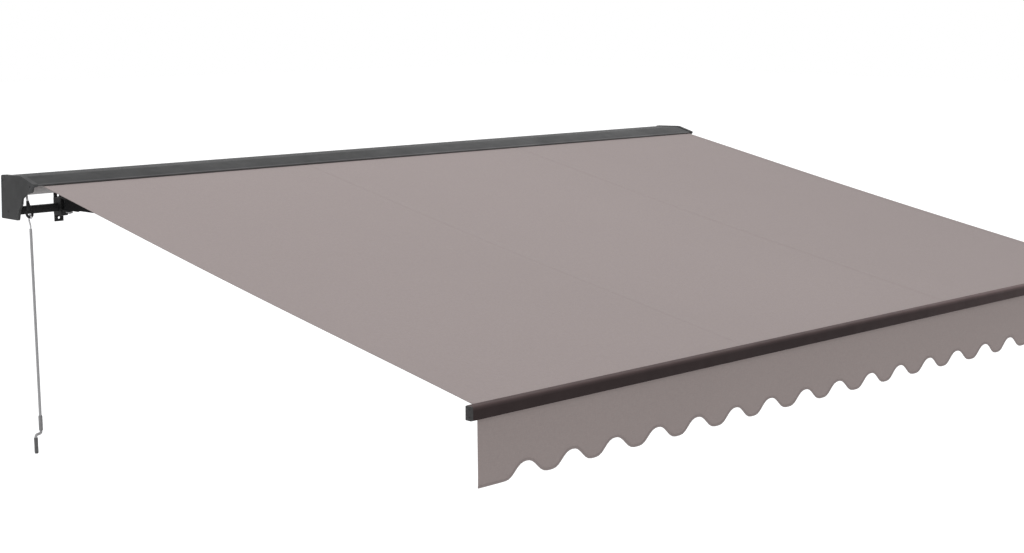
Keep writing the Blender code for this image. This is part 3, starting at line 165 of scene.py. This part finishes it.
# Node helpers
class Nodes:
    """A short way to write the nodes of a material or of the world."""

    def __init__(self, owner):
        owner.use_nodes = True
        self.tree = owner.node_tree
        self.tree.nodes.clear()

    def add(self, kind, **settings):
        """Add a node. A setting with a capital letter is one of its sockets, any other a property."""
        node = self.tree.nodes.new("ShaderNode" + kind)
        for key, value in settings.items():
            if key[0].isupper():
                self.put(value, node.inputs[key.replace("_", " ")])
            else:
                setattr(node, key, value)
        return node

    def put(self, value, socket):
        """Link a socket or a node's first output to a socket, or set a plain value on it."""
        if isinstance(value, bpy.types.NodeSocket):
            self.tree.links.new(value, socket)
        elif isinstance(value, bpy.types.Node):
            self.tree.links.new(value.outputs[0], socket)
        else:
            socket.default_value = value

    def math(self, operation, a, b=0.0):
        node = self.add("Math", operation=operation)
        self.put(a, node.inputs[0])
        self.put(b, node.inputs[1])
        return node.outputs[0]

    def wave(self, value, length):
        """A sine along a value, with one turn in each length."""
        return self.math("SINE", self.math("MULTIPLY", value, 2 * pi / length))

    def mix(self, share, a, b, blend="MIX"):
        node = self.add("Mix", data_type="RGBA", blend_type=blend, Factor=share, A=a, B=b)
        return node.outputs["Result"]

    def tint(self, base, brightness_ramps):
        """Darken or lighten a colour across the part, by ramps along its axes that hold (axis, from, to, factor).
        """
        for axis, low, high, factor in brightness_ramps:
            where = self.add("SeparateXYZ", Vector=self.place()).outputs[axis]
            share = self.ramp(where, low, high)
            base = self.mix(share, base, (factor, factor, factor, 1.0), "MULTIPLY")
        return base

    def place(self):
        return self.add("TexCoord").outputs["Object"]

    def stretched(self, scale):
        """The place on the part, scaled by its own number along each axis."""
        return self.add("Mapping", Vector=self.place(), Scale=scale).outputs[0]

    def noise(self, scale, detail=2.0, roughness=0.5, vector=None):
        vector = vector or self.place()
        node = self.add("TexNoise", Vector=vector, Scale=scale, Detail=detail, Roughness=roughness)
        return node.outputs[0]

    def ramp(self, value, low, high, start=0.0, end=1.0):
        """Carry the span from low to high over to the one from start to end, and clamp it."""
        node = self.add("MapRange", clamp=True, Value=value)
        self.put(low, node.inputs["From Min"])
        self.put(high, node.inputs["From Max"])
        self.put(start, node.inputs["To Min"])
        self.put(end, node.inputs["To Max"])
        return node.outputs["Result"]

    def bump(self, height, distance, strength):
        return self.add("Bump", Height=height, Distance=distance, Strength=strength).outputs[0]

    def background_rays(self):
        """1 for the rays that see a backdrop, straight or in a gloss, and 0 for the others."""
        path = self.add("LightPath")
        gloss = self.math("MAXIMUM", path.outputs["Is Glossy Ray"], path.outputs["Is Transmission Ray"])
        return self.math("MAXIMUM", path.outputs["Is Camera Ray"], gloss)

    def finish(self, colour, roughness, normal, **fixed):
        """Close a material with its one shader. The fixed settings are plain numbers on its sockets."""
        shader = self.add("BsdfPrincipled", Base_Color=colour, Roughness=roughness, Normal=normal, **fixed)
        self.add("OutputMaterial", Surface=shader)


def new_material(name):
    material = bpy.data.materials.new(name)
    return material, Nodes(material)


def shade(colour, factor):
    return (colour[0] * factor, colour[1] * factor, colour[2] * factor, 1.0)


# Kinds of surface
def powder_coat(name, colour, roughness, specular, dust=(0.20, 0.20, 0.20, 1.0), brightness_ramps=()):
    """Textured powder coat: fine orange peel, faint mottling, and dust in the larger patches."""
    material, n = new_material(name)
    mottled = n.ramp(n.noise(9.0, 4.0, 0.6), 0.35, 0.65)
    dusty = n.ramp(n.noise(2.2, 5.0, 0.65), 0.48, 0.72)
    speck = n.ramp(n.noise(2600.0, 1.0), 0.60, 0.78)
    base = n.mix(mottled, shade(colour, 0.93), shade(colour, 1.07))
    base = n.mix(n.math("MULTIPLY", dusty, 0.10), base, dust)
    base = n.mix(n.math("MULTIPLY", speck, 0.10), base, shade(colour, 1.9))
    base = n.tint(base, brightness_ramps)
    rough = n.ramp(n.noise(30.0, 3.0, 0.6), 0.3, 0.7, roughness - 0.05, roughness + 0.07)
    peel = n.bump(n.noise(1500.0, 2.0, 0.55), 0.00012, 0.6)
    n.finish(base, rough, peel, Specular_IOR_Level=specular)
    return material


def woven(name, colour, warp=0.00062, weft=0.00074, heather=0.09, stitched=(), brightness_ramps=(), wound=0.0):
    """Solution-dyed acrylic canvas: crossed threads, heathered colour and lines of stitching.

    stitched holds (axis, place) for each line of thread. It runs where X has that value, or, for
    the axis Z, where Y + Z has it. wound is the pitch of the turns that show on a roll's ends."""
    material, n = new_material(name)
    split = n.add("SeparateXYZ", Vector=n.place())
    x = split.outputs["X"]
    along = n.math("ADD", split.outputs["Y"], split.outputs["Z"])
    one = n.wave(x, warp)
    two = n.wave(along, weft)
    crossed = n.math("MULTIPLY", n.math("MULTIPLY", one, two), 0.35)
    weave = n.math("ADD", crossed, n.math("MAXIMUM", one, two))
    slub_across = n.noise(34.0, 3.0, 0.7, n.stretched((2.0, 26.0, 26.0)))
    slub_along = n.noise(34.0, 3.0, 0.7, n.stretched((26.0, 2.0, 2.0)))
    slub = n.math("MULTIPLY", n.math("ADD", slub_across, slub_along), 0.5)
    fine = n.noise(950.0, 2.0, 0.6)
    cloudy = n.noise(1.3, 4.0, 0.6)
    base = n.mix(n.ramp(slub, 0.38, 0.62), shade(colour, 1 - heather), shade(colour, 1 + heather))
    base = n.mix(n.ramp(fine, 0.35, 0.65, 0.0, 0.35), base, shade(colour, 0.86))
    base = n.mix(n.ramp(cloudy, 0.4, 0.75, 0.0, 0.10), base, shade(colour, 0.80))
    height = n.math("ADD", n.math("MULTIPLY", weave, 0.5), n.math("MULTIPLY", fine, 0.5))
    for axis, at in stitched:
        across, run = (x, along) if axis == "X" else (along, x)
        off = n.math("ABSOLUTE", n.math("SUBTRACT", across, at))
        line = n.ramp(off, 0.0004, 0.0009, 1.0, 0.0)
        dash = n.ramp(n.wave(run, STITCH_LENGTH), -0.75, -0.35)
        thread = n.math("MULTIPLY", line, dash)
        base = n.mix(n.math("MULTIPLY", thread, 0.6), base, shade(colour, 0.84))
        height = n.math("ADD", height, n.math("MULTIPLY", thread, 1.6))
    # Dark rings at the pitch of the turns: painted shade in the grooves between the wound layers
    if wound:
        flat = n.math("POWER", n.math("SUBTRACT", split.outputs["Y"], ROLLER_Y), 2.0)
        high = n.math("POWER", n.math("SUBTRACT", split.outputs["Z"], ROLLER_Z), 2.0)
        radius = n.math("SQRT", n.math("ADD", flat, high))
        turns = n.ramp(n.wave(radius, wound), -0.4, 0.4, 0.0, 0.5)
        base = n.mix(turns, base, shade(colour, 0.55))
    base = n.tint(base, brightness_ramps)
    rough = n.ramp(fine, 0.3, 0.7, 0.82, 0.94)
    threads = n.bump(height, 0.00010, 0.55)
    n.finish(base, rough, threads, Specular_IOR_Level=0.18, Sheen_Weight=0.08, Sheen_Roughness=0.5)
    return material


def metal(name, colour, roughness):
    """Plated or bare metal with level brushing, and duller patches."""
    material, n = new_material(name)
    scratch = n.noise(40.0, 5.0, 0.7, n.stretched((1.0, 1.0, 60.0)))
    cloudy = n.ramp(n.noise(55.0, 4.0, 0.6), 0.42, 0.68)
    base = n.mix(n.ramp(scratch, 0.35, 0.65), shade(colour, 0.86), shade(colour, 1.10))
    base = n.mix(n.math("MULTIPLY", cloudy, 0.25), base, shade(colour, 0.55))
    worn = n.math("ADD", scratch, n.math("MULTIPLY", cloudy, 0.3))
    rough = n.ramp(worn, 0.3, 1.0, roughness - 0.08, roughness + 0.16)
    n.finish(base, rough, n.bump(scratch, 0.00005, 0.5), Metallic=1.0)
    return material


def moulded(name, colour, roughness=0.5, specular=0.3):
    """Moulded plastic with a spark-eroded texture and slightly paler rubbed places."""
    material, n = new_material(name)
    rubbed = n.ramp(n.noise(14.0, 3.0, 0.6), 0.45, 0.70)
    base = n.mix(rubbed, shade(colour, 0.95), shade(colour, 1.25))
    rough = n.ramp(n.noise(38.0, 3.0, 0.6), 0.3, 0.7, roughness - 0.08, roughness + 0.08)
    texture = n.bump(n.noise(1900.0, 2.0, 0.6), 0.00010, 0.6)
    n.finish(base, rough, texture, Specular_IOR_Level=specular)
    return material


# This awning's surfaces, with the hood's lip and the bar's top edge painted paler than the rest as painted
# highlights
HEM_INSETS = (HEM_STITCH, HEM_WIDTH - HEM_STITCH)
HEM_LINES = [side * (HALF - inset) for side in (-1, 1) for inset in HEM_INSETS]
SEAM_LINES = [seam + off for seam in CANOPY_SEAMS for off in (-SEAM_STITCH, SEAM_STITCH)]
CANOPY = woven(
    "canopy_cloth",
    (0.364, 0.310, 0.300),
    stitched=[("X", line) for line in HEM_LINES + SEAM_LINES],
    # Darker towards the front and towards the right
    brightness_ramps=[("Y", -0.3, -2.6, 0.93), ("X", 0.2, 1.9, 0.93)],
)
ROLL = woven("roll_cloth", (0.470, 0.455, 0.450), wound=ROLL_TURNS)
# The valance is the canopy's own cloth, painted paler here as painted light that lifts the shade on its hanging
# face
VALANCE = woven(
    "valance_cloth",
    (0.408, 0.346, 0.330),
    stitched=[("Z", VALANCE_Y + BAR_LOW.z - STITCH_BELOW_BAR)],
)
BINDING = woven("binding_tape", (0.355, 0.300, 0.288), warp=0.0008, weft=0.0008, heather=0.05)
HOOD = powder_coat(
    "hood_grey",
    (0.0570, 0.0573, 0.0575),
    roughness=0.62,
    specular=0.06,
    # Painted light: the lip is painted paler as a painted highlight over its shade, and the hood is painted
    # lighter towards the right
    brightness_ramps=[("Y", LIP_Y + 0.007, LIP_Y + 0.002, 1.9), ("X", -1.9, 1.9, 1.44)],
)
CAP = powder_coat("cap_grey", (0.0705, 0.0708, 0.0710), roughness=0.60, specular=0.12)
# Black steel painted paler than its own black, as painted light that lifts the shade the hood casts on the torsion
# bar and brackets
BLACK = powder_coat("black_steel", (0.0250, 0.0250, 0.0253), roughness=0.55, specular=0.14)
# Near-black arms, painted darker still as painted shade for where they lie in shadow below the canopy's edge
BLACK_ALLOY = powder_coat("black_alloy", (0.0062, 0.0062, 0.0065), roughness=0.50, specular=0.12)
BAR = powder_coat(
    "bar_brown",
    (0.0395, 0.0282, 0.0278),
    roughness=0.58,
    specular=0.06,
    dust=(0.055, 0.043, 0.041, 1.0),
    # Painted light: the bar is painted lighter towards the right, and its top edge paler still as a painted
    # highlight
    brightness_ramps=[("X", 0.0, 1.3, 1.70), ("Z", BAR_HIGH.z - 0.013, BAR_HIGH.z - 0.001, 2.1)],
)
BAR_CAP = moulded("bar_cap", (0.0490, 0.0475, 0.0480), specular=0.20)
GRIP = moulded("grip_plastic", (0.140, 0.140, 0.141))
SLEEVE = moulded("sleeve_plastic", (0.310, 0.310, 0.312))
ZINC = metal("zinc", (0.52, 0.52, 0.53), roughness=0.38)
SPRING = metal("spring_steel", (0.28, 0.28, 0.29), roughness=0.35)
CRANK = powder_coat("crank_grey", (0.47, 0.47, 0.473), roughness=0.40, specular=0.40)
PLASTIC = moulded("gear_plastic", (0.014, 0.014, 0.014))
BRASS = metal("brass", (0.62, 0.43, 0.17), roughness=0.32)

SLOT_MATERIALS = {
    "hood_grey": HOOD,
    "cap_grey": CAP,
    "black_steel": BLACK,
    "black_alloy": BLACK_ALLOY,
    "bar_brown": BAR,
    "bar_cap": BAR_CAP,
    "canopy_cloth": CANOPY,
    "valance_cloth": VALANCE,
    "zinc": ZINC,
    "spring_steel": SPRING,
    "crank_grey": CRANK,
    "gear_plastic": PLASTIC,
    "brass": BRASS,
}

# Solids that don't wear the surface of their slot
NODE_MATERIALS = {"fabric_roll": ROLL, "crank_grip": GRIP, "crank_sleeve": SLEEVE}


def dress_solids():
    """Give every carried-over solid its surface, and smooth its curved faces."""
    slots = {part["node"]: part["material_slot"] for part in frame["record"]["subparts"]}
    for name, node in frame["nodes"].items():
        node.data.materials.clear()
        node.data.materials.append(NODE_MATERIALS.get(name) or SLOT_MATERIALS[slots[name]])
        normals = node.data.attributes.get("custom_normal")
        if normals:
            node.data.attributes.remove(normals)
        node.data.polygons.foreach_set("use_smooth", [True] * len(node.data.polygons))
        weld = node.modifiers.new("weld", "WELD")
        weld.merge_threshold = WELD_DISTANCE
        split = node.modifiers.new("creases", "EDGE_SPLIT")
        split.split_angle = SOLID_CREASE


# Mesh helpers
def piece(name, bm, material, body, crease):
    """Make one named piece from a bmesh and let it ride on a body."""
    bmesh.ops.recalc_face_normals(bm, faces=bm.faces)
    mesh = bpy.data.meshes.new(name)
    bm.to_mesh(mesh)
    bm.free()
    mesh.materials.append(material)
    mesh.shade_smooth()
    mesh.set_sharp_from_angle(angle=crease)
    made = bpy.data.objects.new(name, mesh)
    bpy.context.scene.collection.objects.link(made)
    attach(made, body)
    return made


def ring(bm, radius, height, place, sides):
    """Add a circle of vertices about the z axis of a frame, or one vertex where the radius is 0."""
    turns = [2 * pi * i / sides for i in range(sides if radius else 1)]
    points = [Vector((radius * cos(turn), radius * sin(turn), height)) for turn in turns]
    return [bm.verts.new(place @ point) for point in points]


def lathe(bm, profile, place, sides, closed=False):
    """Add a profile of (radius, height) points turned about the z axis of a frame."""
    rings = [ring(bm, radius, height, place, sides) for radius, height in profile]
    pairs = list(zip(rings, rings[1:]))
    if closed:
        pairs.append((rings[-1], rings[0]))
    for one, two in pairs:
        for i in range(sides):
            corners = [one[(i - 1) % len(one)], one[i % len(one)]]
            corners += [two[i % len(two)], two[(i - 1) % len(two)]]
            face = list(dict.fromkeys(corners))
            if len(face) > 2:
                bm.faces.new(face)


def pointing(origin, axis):
    """A frame at a point, with its z along an axis."""
    return Matrix.Translation(origin) @ Vector(axis).to_track_quat("Z", "Y").to_matrix().to_4x4()


def surface(bm, rows, thickness):
    """Add a closed sheet from rows of middle points. thickness(k) is what it measures at column k."""
    count = len(rows[0])
    upper, lower = [], []
    for i, row in enumerate(rows):
        up, down = [], []
        for k, point in enumerate(row):
            before, after = rows[max(i - 1, 0)][k], rows[min(i + 1, len(rows) - 1)][k]
            left, right = row[max(k - 1, 0)], row[min(k + 1, count - 1)]
            normal = (Vector(right) - Vector(left)).cross(Vector(after) - Vector(before)).normalized()
            half = thickness(k) / 2
            up.append(bm.verts.new(Vector(point) + normal * half))
            down.append(bm.verts.new(Vector(point) - normal * half))
        upper.append(up)
        lower.append(down)
    for i in range(len(rows) - 1):
        for k in range(count - 1):
            bm.faces.new((upper[i][k], upper[i][k + 1], upper[i + 1][k + 1], upper[i + 1][k]))
            bm.faces.new((lower[i][k], lower[i + 1][k], lower[i + 1][k + 1], lower[i][k + 1]))
    for i in range(len(rows) - 1):
        bm.faces.new((upper[i][0], upper[i + 1][0], lower[i + 1][0], lower[i][0]))
        bm.faces.new((upper[i][-1], lower[i][-1], lower[i + 1][-1], upper[i + 1][-1]))
    for k in range(count - 1):
        bm.faces.new((upper[0][k], lower[0][k], lower[0][k + 1], upper[0][k + 1]))
        bm.faces.new((upper[-1][k], upper[-1][k + 1], lower[-1][k + 1], lower[-1][k]))


# Canopy
def canopy_line():
    """Both ends of the canopy's middle line: the roller's top and the front bar's groove."""
    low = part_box("canopy")[0]
    normal = Vector((0, -sin(FABRIC_SLOPE), cos(FABRIC_SLOPE)))
    start = Vector((0, ROLLER_Y, ROLLER_Z)) + normal * (ROLL_RADIUS + CLOTH)
    end = Vector((0, low.y + WELT_MIDDLE, low.z + WELT_MIDDLE))
    return start, end


CANOPY_START, CANOPY_END = canopy_line()
CANOPY_COLUMNS = sorted(
    {-HALF + FABRIC_WIDTH * i / CANOPY_SPANS for i in range(CANOPY_SPANS + 1)}
    | {side * (HALF - inset) for side in (-1, 1) for inset in HEM_COLUMNS}
    | {seam + off for seam in CANOPY_SEAMS for off in LAP_COLUMNS}
)


def canopy_row(v):
    """The points across the canopy at a share of the way from the roller to the bar.

    The belly is level at both ends, so that the cloth leaves the roll and meets the bar straight."""
    point = CANOPY_START.lerp(CANOPY_END, v)
    row = []
    for x in CANOPY_COLUMNS:
        inside = 1 - (abs(x) / HALF) ** BELLY_POWER
        belly = 16 * (v * (1 - v)) ** 2 * (BELLY_AT_HEMS + BELLY_ADDED * inside)
        ripple = RIPPLE * sin(x * RIPPLE_RATE + RIPPLE_SHIFT) * sin(pi * v) ** 2 * inside
        row.append((x, point.y, point.z - belly + ripple))
    return row


def canopy_thickness(k):
    """Cloth is doubled in the side hems and where the panels overlap."""
    x = CANOPY_COLUMNS[k]
    hemmed = abs(x) > HALF - HEM_WIDTH + HEM_MARGIN
    lapped = any(abs(x - seam) < LAP_HALF for seam in CANOPY_SEAMS)
    return CLOTH * (DOUBLED if hemmed or lapped else 1.0)


def canopy_strip(name, first, last, rows, body):
    """The part of the canopy between two shares of its length."""
    bm = bmesh.new()
    surface(bm, [canopy_row(first + (last - first) * i / rows) for i in range(rows + 1)], canopy_thickness)
    return piece(name, bm, CANOPY, body, CLOTH_CREASE)


def make_canopy():
    """A stretched sheet with doubled side hems, overlapped panel seams and a slight belly.

    The first strip stays on the roll and the last one in the bar's groove, so that the sheet
    between them, which is squashed as the awning closes, keeps clear of the roll and the bar."""
    length = (CANOPY_END - CANOPY_START).length
    first = (ROLL_RADIUS + LEAD_BEYOND_ROLL) / length
    last = (BAR_HIGH.y + TAIL_OUT_OF_BAR - CANOPY_START.y) / (CANOPY_END.y - CANOPY_START.y)
    lead = canopy_strip("canopy_lead", 0.0, first, LEAD_ROWS, "frame")
    tail = canopy_strip("canopy_tail", last, 1.0, TAIL_ROWS, "front_beam")
    made = canopy_strip("canopy_sheet", first, last, SHEET_ROWS, "frame")
    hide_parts("canopy")
    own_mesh(made)


# Valance
VALANCE_TOP = VALANCE_HIGH.z - INTO_WELT
VALANCE_SPANS = ceil(FABRIC_WIDTH / VALANCE_PITCH * COLUMNS_PER_LOBE)
VALANCE_COLUMNS = [FABRIC_WIDTH * k / VALANCE_SPANS for k in range(VALANCE_SPANS + 1)]


def hem_height(x):
    """Height of the scalloped edge at a distance from the valance's left end.

    The lobes are a little fuller than a plain wave, and the cloth hangs slightly low at the right."""
    inside = max(min(x, FABRIC_WIDTH - x), VALANCE_PITCH / 2)
    turn = 2 * pi * inside / VALANCE_PITCH
    wave = sum(size * cos((k + 1) * turn) for k, size in enumerate(HEM_SHAPE))
    return VALANCE_LOW.z + VALANCE_WAVE / 2 + wave - HEM_LOWER - HEM_SLANT * x


def hem_inward(x):
    """The direction from the scalloped edge into the cloth, along X and Z."""
    before = hem_height(max(x - SLOPE_STEP, 0))
    after = hem_height(min(x + SLOPE_STEP, FABRIC_WIDTH))
    rise = (after - before) / (2 * SLOPE_STEP)
    length = hypot(1, rise)
    return Vector((-rise / length, 1 / length))


def hang(x, drop):
    """How far the hanging cloth stands forward or back, by its distance below the bar."""
    swing = sum(size * sin(x * rate + shift) for size, rate, shift in SWAY)
    return swing * min(1.0, drop / SWAY_DROP) ** SWAY_POWER


def valance_row(share):
    """The points along the valance at a share of the way from its welt down to the hem."""
    row = []
    for x in VALANCE_COLUMNS:
        z = VALANCE_TOP + (hem_height(x) - VALANCE_TOP) * share
        row.append((x - HALF, VALANCE_Y - hang(x, max(0.0, BAR_LOW.z - z)), z))
    return row


def tape_row(share):
    """The points along the binding at a share of its width from the edge into the cloth."""
    off = -TAPE_BELOW_EDGE + TAPE_WIDTH * share
    row = []
    for x in VALANCE_COLUMNS:
        edge = hem_height(x)
        inward_x, inward_z = hem_inward(x)
        across = min(max(x + inward_x * off, 0.0), FABRIC_WIDTH)
        row.append((across - HALF, VALANCE_Y - hang(x, BAR_LOW.z - edge), edge + inward_z * off))
    return row


def make_valance():
    """Hanging scalloped strip with a bound edge."""
    bm = bmesh.new()
    surface(bm, [valance_row(i / VALANCE_ROWS) for i in range(VALANCE_ROWS + 1)], lambda k: CLOTH)
    made = piece("valance_sheet", bm, VALANCE, "front_beam", CLOTH_CREASE)
    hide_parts("valance")
    bm = bmesh.new()
    surface(bm, [tape_row(i / TAPE_ROWS) for i in range(TAPE_ROWS + 1)], lambda k: TAPE_THICKNESS)
    bound = piece("valance_binding", bm, BINDING, "front_beam", CLOTH_CREASE)


# Small fittings
def screw(name, at, axis, body, material, head):
    """Recessed pan-head screw. Its head, of a given radius, stands on a face and its end is sunk in it."""
    rim = SCREW_HEIGHT * SCREW_RIM
    profile = [(0, -SCREW_SUNK), (head * SCREW_SHANK, -SCREW_SUNK), (head, 0.0), (head, rim)]
    for turn in (a * pi / 12 for a in range(1, 6)):
        profile.append((head * cos(turn), rim + SCREW_HEIGHT * SCREW_DOME * sin(turn)))
    profile.append((head * SCREW_RECESS[0], SCREW_HEIGHT * SCREW_RECESS[1]))
    profile.append((0, SCREW_HEIGHT * SCREW_RECESS_FLOOR))
    bm = bmesh.new()
    lathe(bm, profile, pointing(at, axis), SCREW_SIDES)
    piece(name, bm, material, body, FITTING_CREASE)


def cap_screws():
    """Screws through each end cap into the torsion bar and the hood's ports."""
    bar_low, bar_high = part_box("torsion_bar")
    bar_y, bar_z = (bar_low.y + bar_high.y) / 2, (bar_low.z + bar_high.z) / 2
    hood_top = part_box("hood_cover")[1].z
    for side, word in SIDES:
        low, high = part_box("end_cap_" + word)
        x = low.x if side < 0 else high.x
        spots = [
            (bar_y, bar_z),
            (high.y - CAP_SCREW_REAR[0], hood_top - CAP_SCREW_REAR[1]),
            (low.y + CAP_SCREW_FRONT[0], hood_top - CAP_SCREW_FRONT[1]),
        ]
        for number, (y, z) in enumerate(spots, 1):
            name = "cap_screw_%s_%d" % (word, number)
            screw(name, (x, y, z), (side, 0, 0), "frame", CAP, CAP_SCREW_HEAD)


def bar_cap_screws():
    """Two screws that hold each end cap of the front bar."""
    for side, word in SIDES:
        low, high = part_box("front_bar_cap_" + word)
        x = low.x if side < 0 else high.x
        y = (low.y + high.y) / 2
        for number, share in enumerate(BAR_SCREW_HEIGHTS, 1):
            z = low.z + (high.z - low.z) * share
            name = "bar_cap_screw_%s_%d" % (word, number)
            screw(name, (x, y, z), (side, 0, 0), "front_beam", BAR_CAP, BAR_SCREW_HEAD)


def washers():
    """Plain washers under the heads of the keeper bolts."""
    for word in ("left", "centre", "right"):
        low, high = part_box("bracket_bolt_" + word)
        face_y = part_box("bracket_clamp_" + word)[0].y
        middle = ((low.x + high.x) / 2, face_y, (low.z + high.z) / 2)
        bm = bmesh.new()
        lathe(bm, WASHER_PROFILE, pointing(middle, (0, -1, 0)), WASHER_SIDES, closed=True)
        piece("washer_" + word, bm, ZINC, "frame", FITTING_CREASE)


# Light, floor and camera
def make_world():
    """Even light from all sides, in front of which the backdrop is seen as white."""
    world = bpy.data.worlds.new("studio")
    bpy.context.scene.world = world
    n = Nodes(world)
    backdrop = n.mix(n.background_rays(), SKY, WHITE)
    n.add("OutputWorld", Surface=n.add("Background", Color=backdrop))


def floor_material():
    """Pale grey that glows for the rays that see it as a backdrop, and is clear from below."""
    material, n = new_material("pale_floor")
    speckle = n.ramp(n.noise(60.0, 3.0), 0.3, 0.7)
    diffuse = n.add("BsdfDiffuse", Color=n.mix(speckle, *FLOOR_GREYS))
    glow = n.add("Emission", Color=WHITE, Strength=n.math("MULTIPLY", n.background_rays(), FLOOR_GLOW))
    lit = n.add("AddShader")
    n.put(diffuse, lit.inputs[0])
    n.put(glow, lit.inputs[1])
    either = n.add("MixShader")
    n.put(n.add("NewGeometry").outputs["Backfacing"], either.inputs[0])
    n.put(lit, either.inputs[1])
    n.put(n.add("BsdfTransparent"), either.inputs[2])
    n.add("OutputMaterial", Surface=either)
    return material


def make_floor():
    bm = bmesh.new()
    bmesh.ops.create_grid(bm, x_segments=1, y_segments=1, size=FLOOR_HALF)
    mesh = bpy.data.meshes.new("floor")
    bm.to_mesh(mesh)
    bm.free()
    mesh.materials.append(floor_material())
    floor = bpy.data.objects.new("floor", mesh)
    floor.location = FLOOR_PLACE
    bpy.context.scene.collection.objects.link(floor)


def make_stage():
    """The studio: plain light, a pale floor and one soft lamp overhead."""
    scene = bpy.context.scene
    scene.view_settings.view_transform = "Standard"
    make_world()
    make_floor()
    sun = bpy.data.lights.new("overhead", "SUN")
    sun.energy = LAMP_STRENGTH
    sun.angle = LAMP_ANGLE
    lamp = bpy.data.objects.new("overhead", sun)
    lamp.rotation_euler = LAMP_TURN
    scene.collection.objects.link(lamp)


def make_camera():
    """The photograph's own viewpoint."""
    data = bpy.data.cameras.new("camera")
    data.sensor_width = CAMERA_SENSOR
    data.lens = CAMERA_LENS
    data.clip_end = CAMERA_REACH
    camera = bpy.data.objects.new("camera", data)
    camera.location = CAMERA_PLACE
    camera.rotation_euler = CAMERA_TURN
    bpy.context.scene.collection.objects.link(camera)
    bpy.context.scene.camera = camera


make_camera()
make_stage()
dress_solids()
make_canopy()
make_valance()
cap_screws()
bar_cap_screws()
washers()
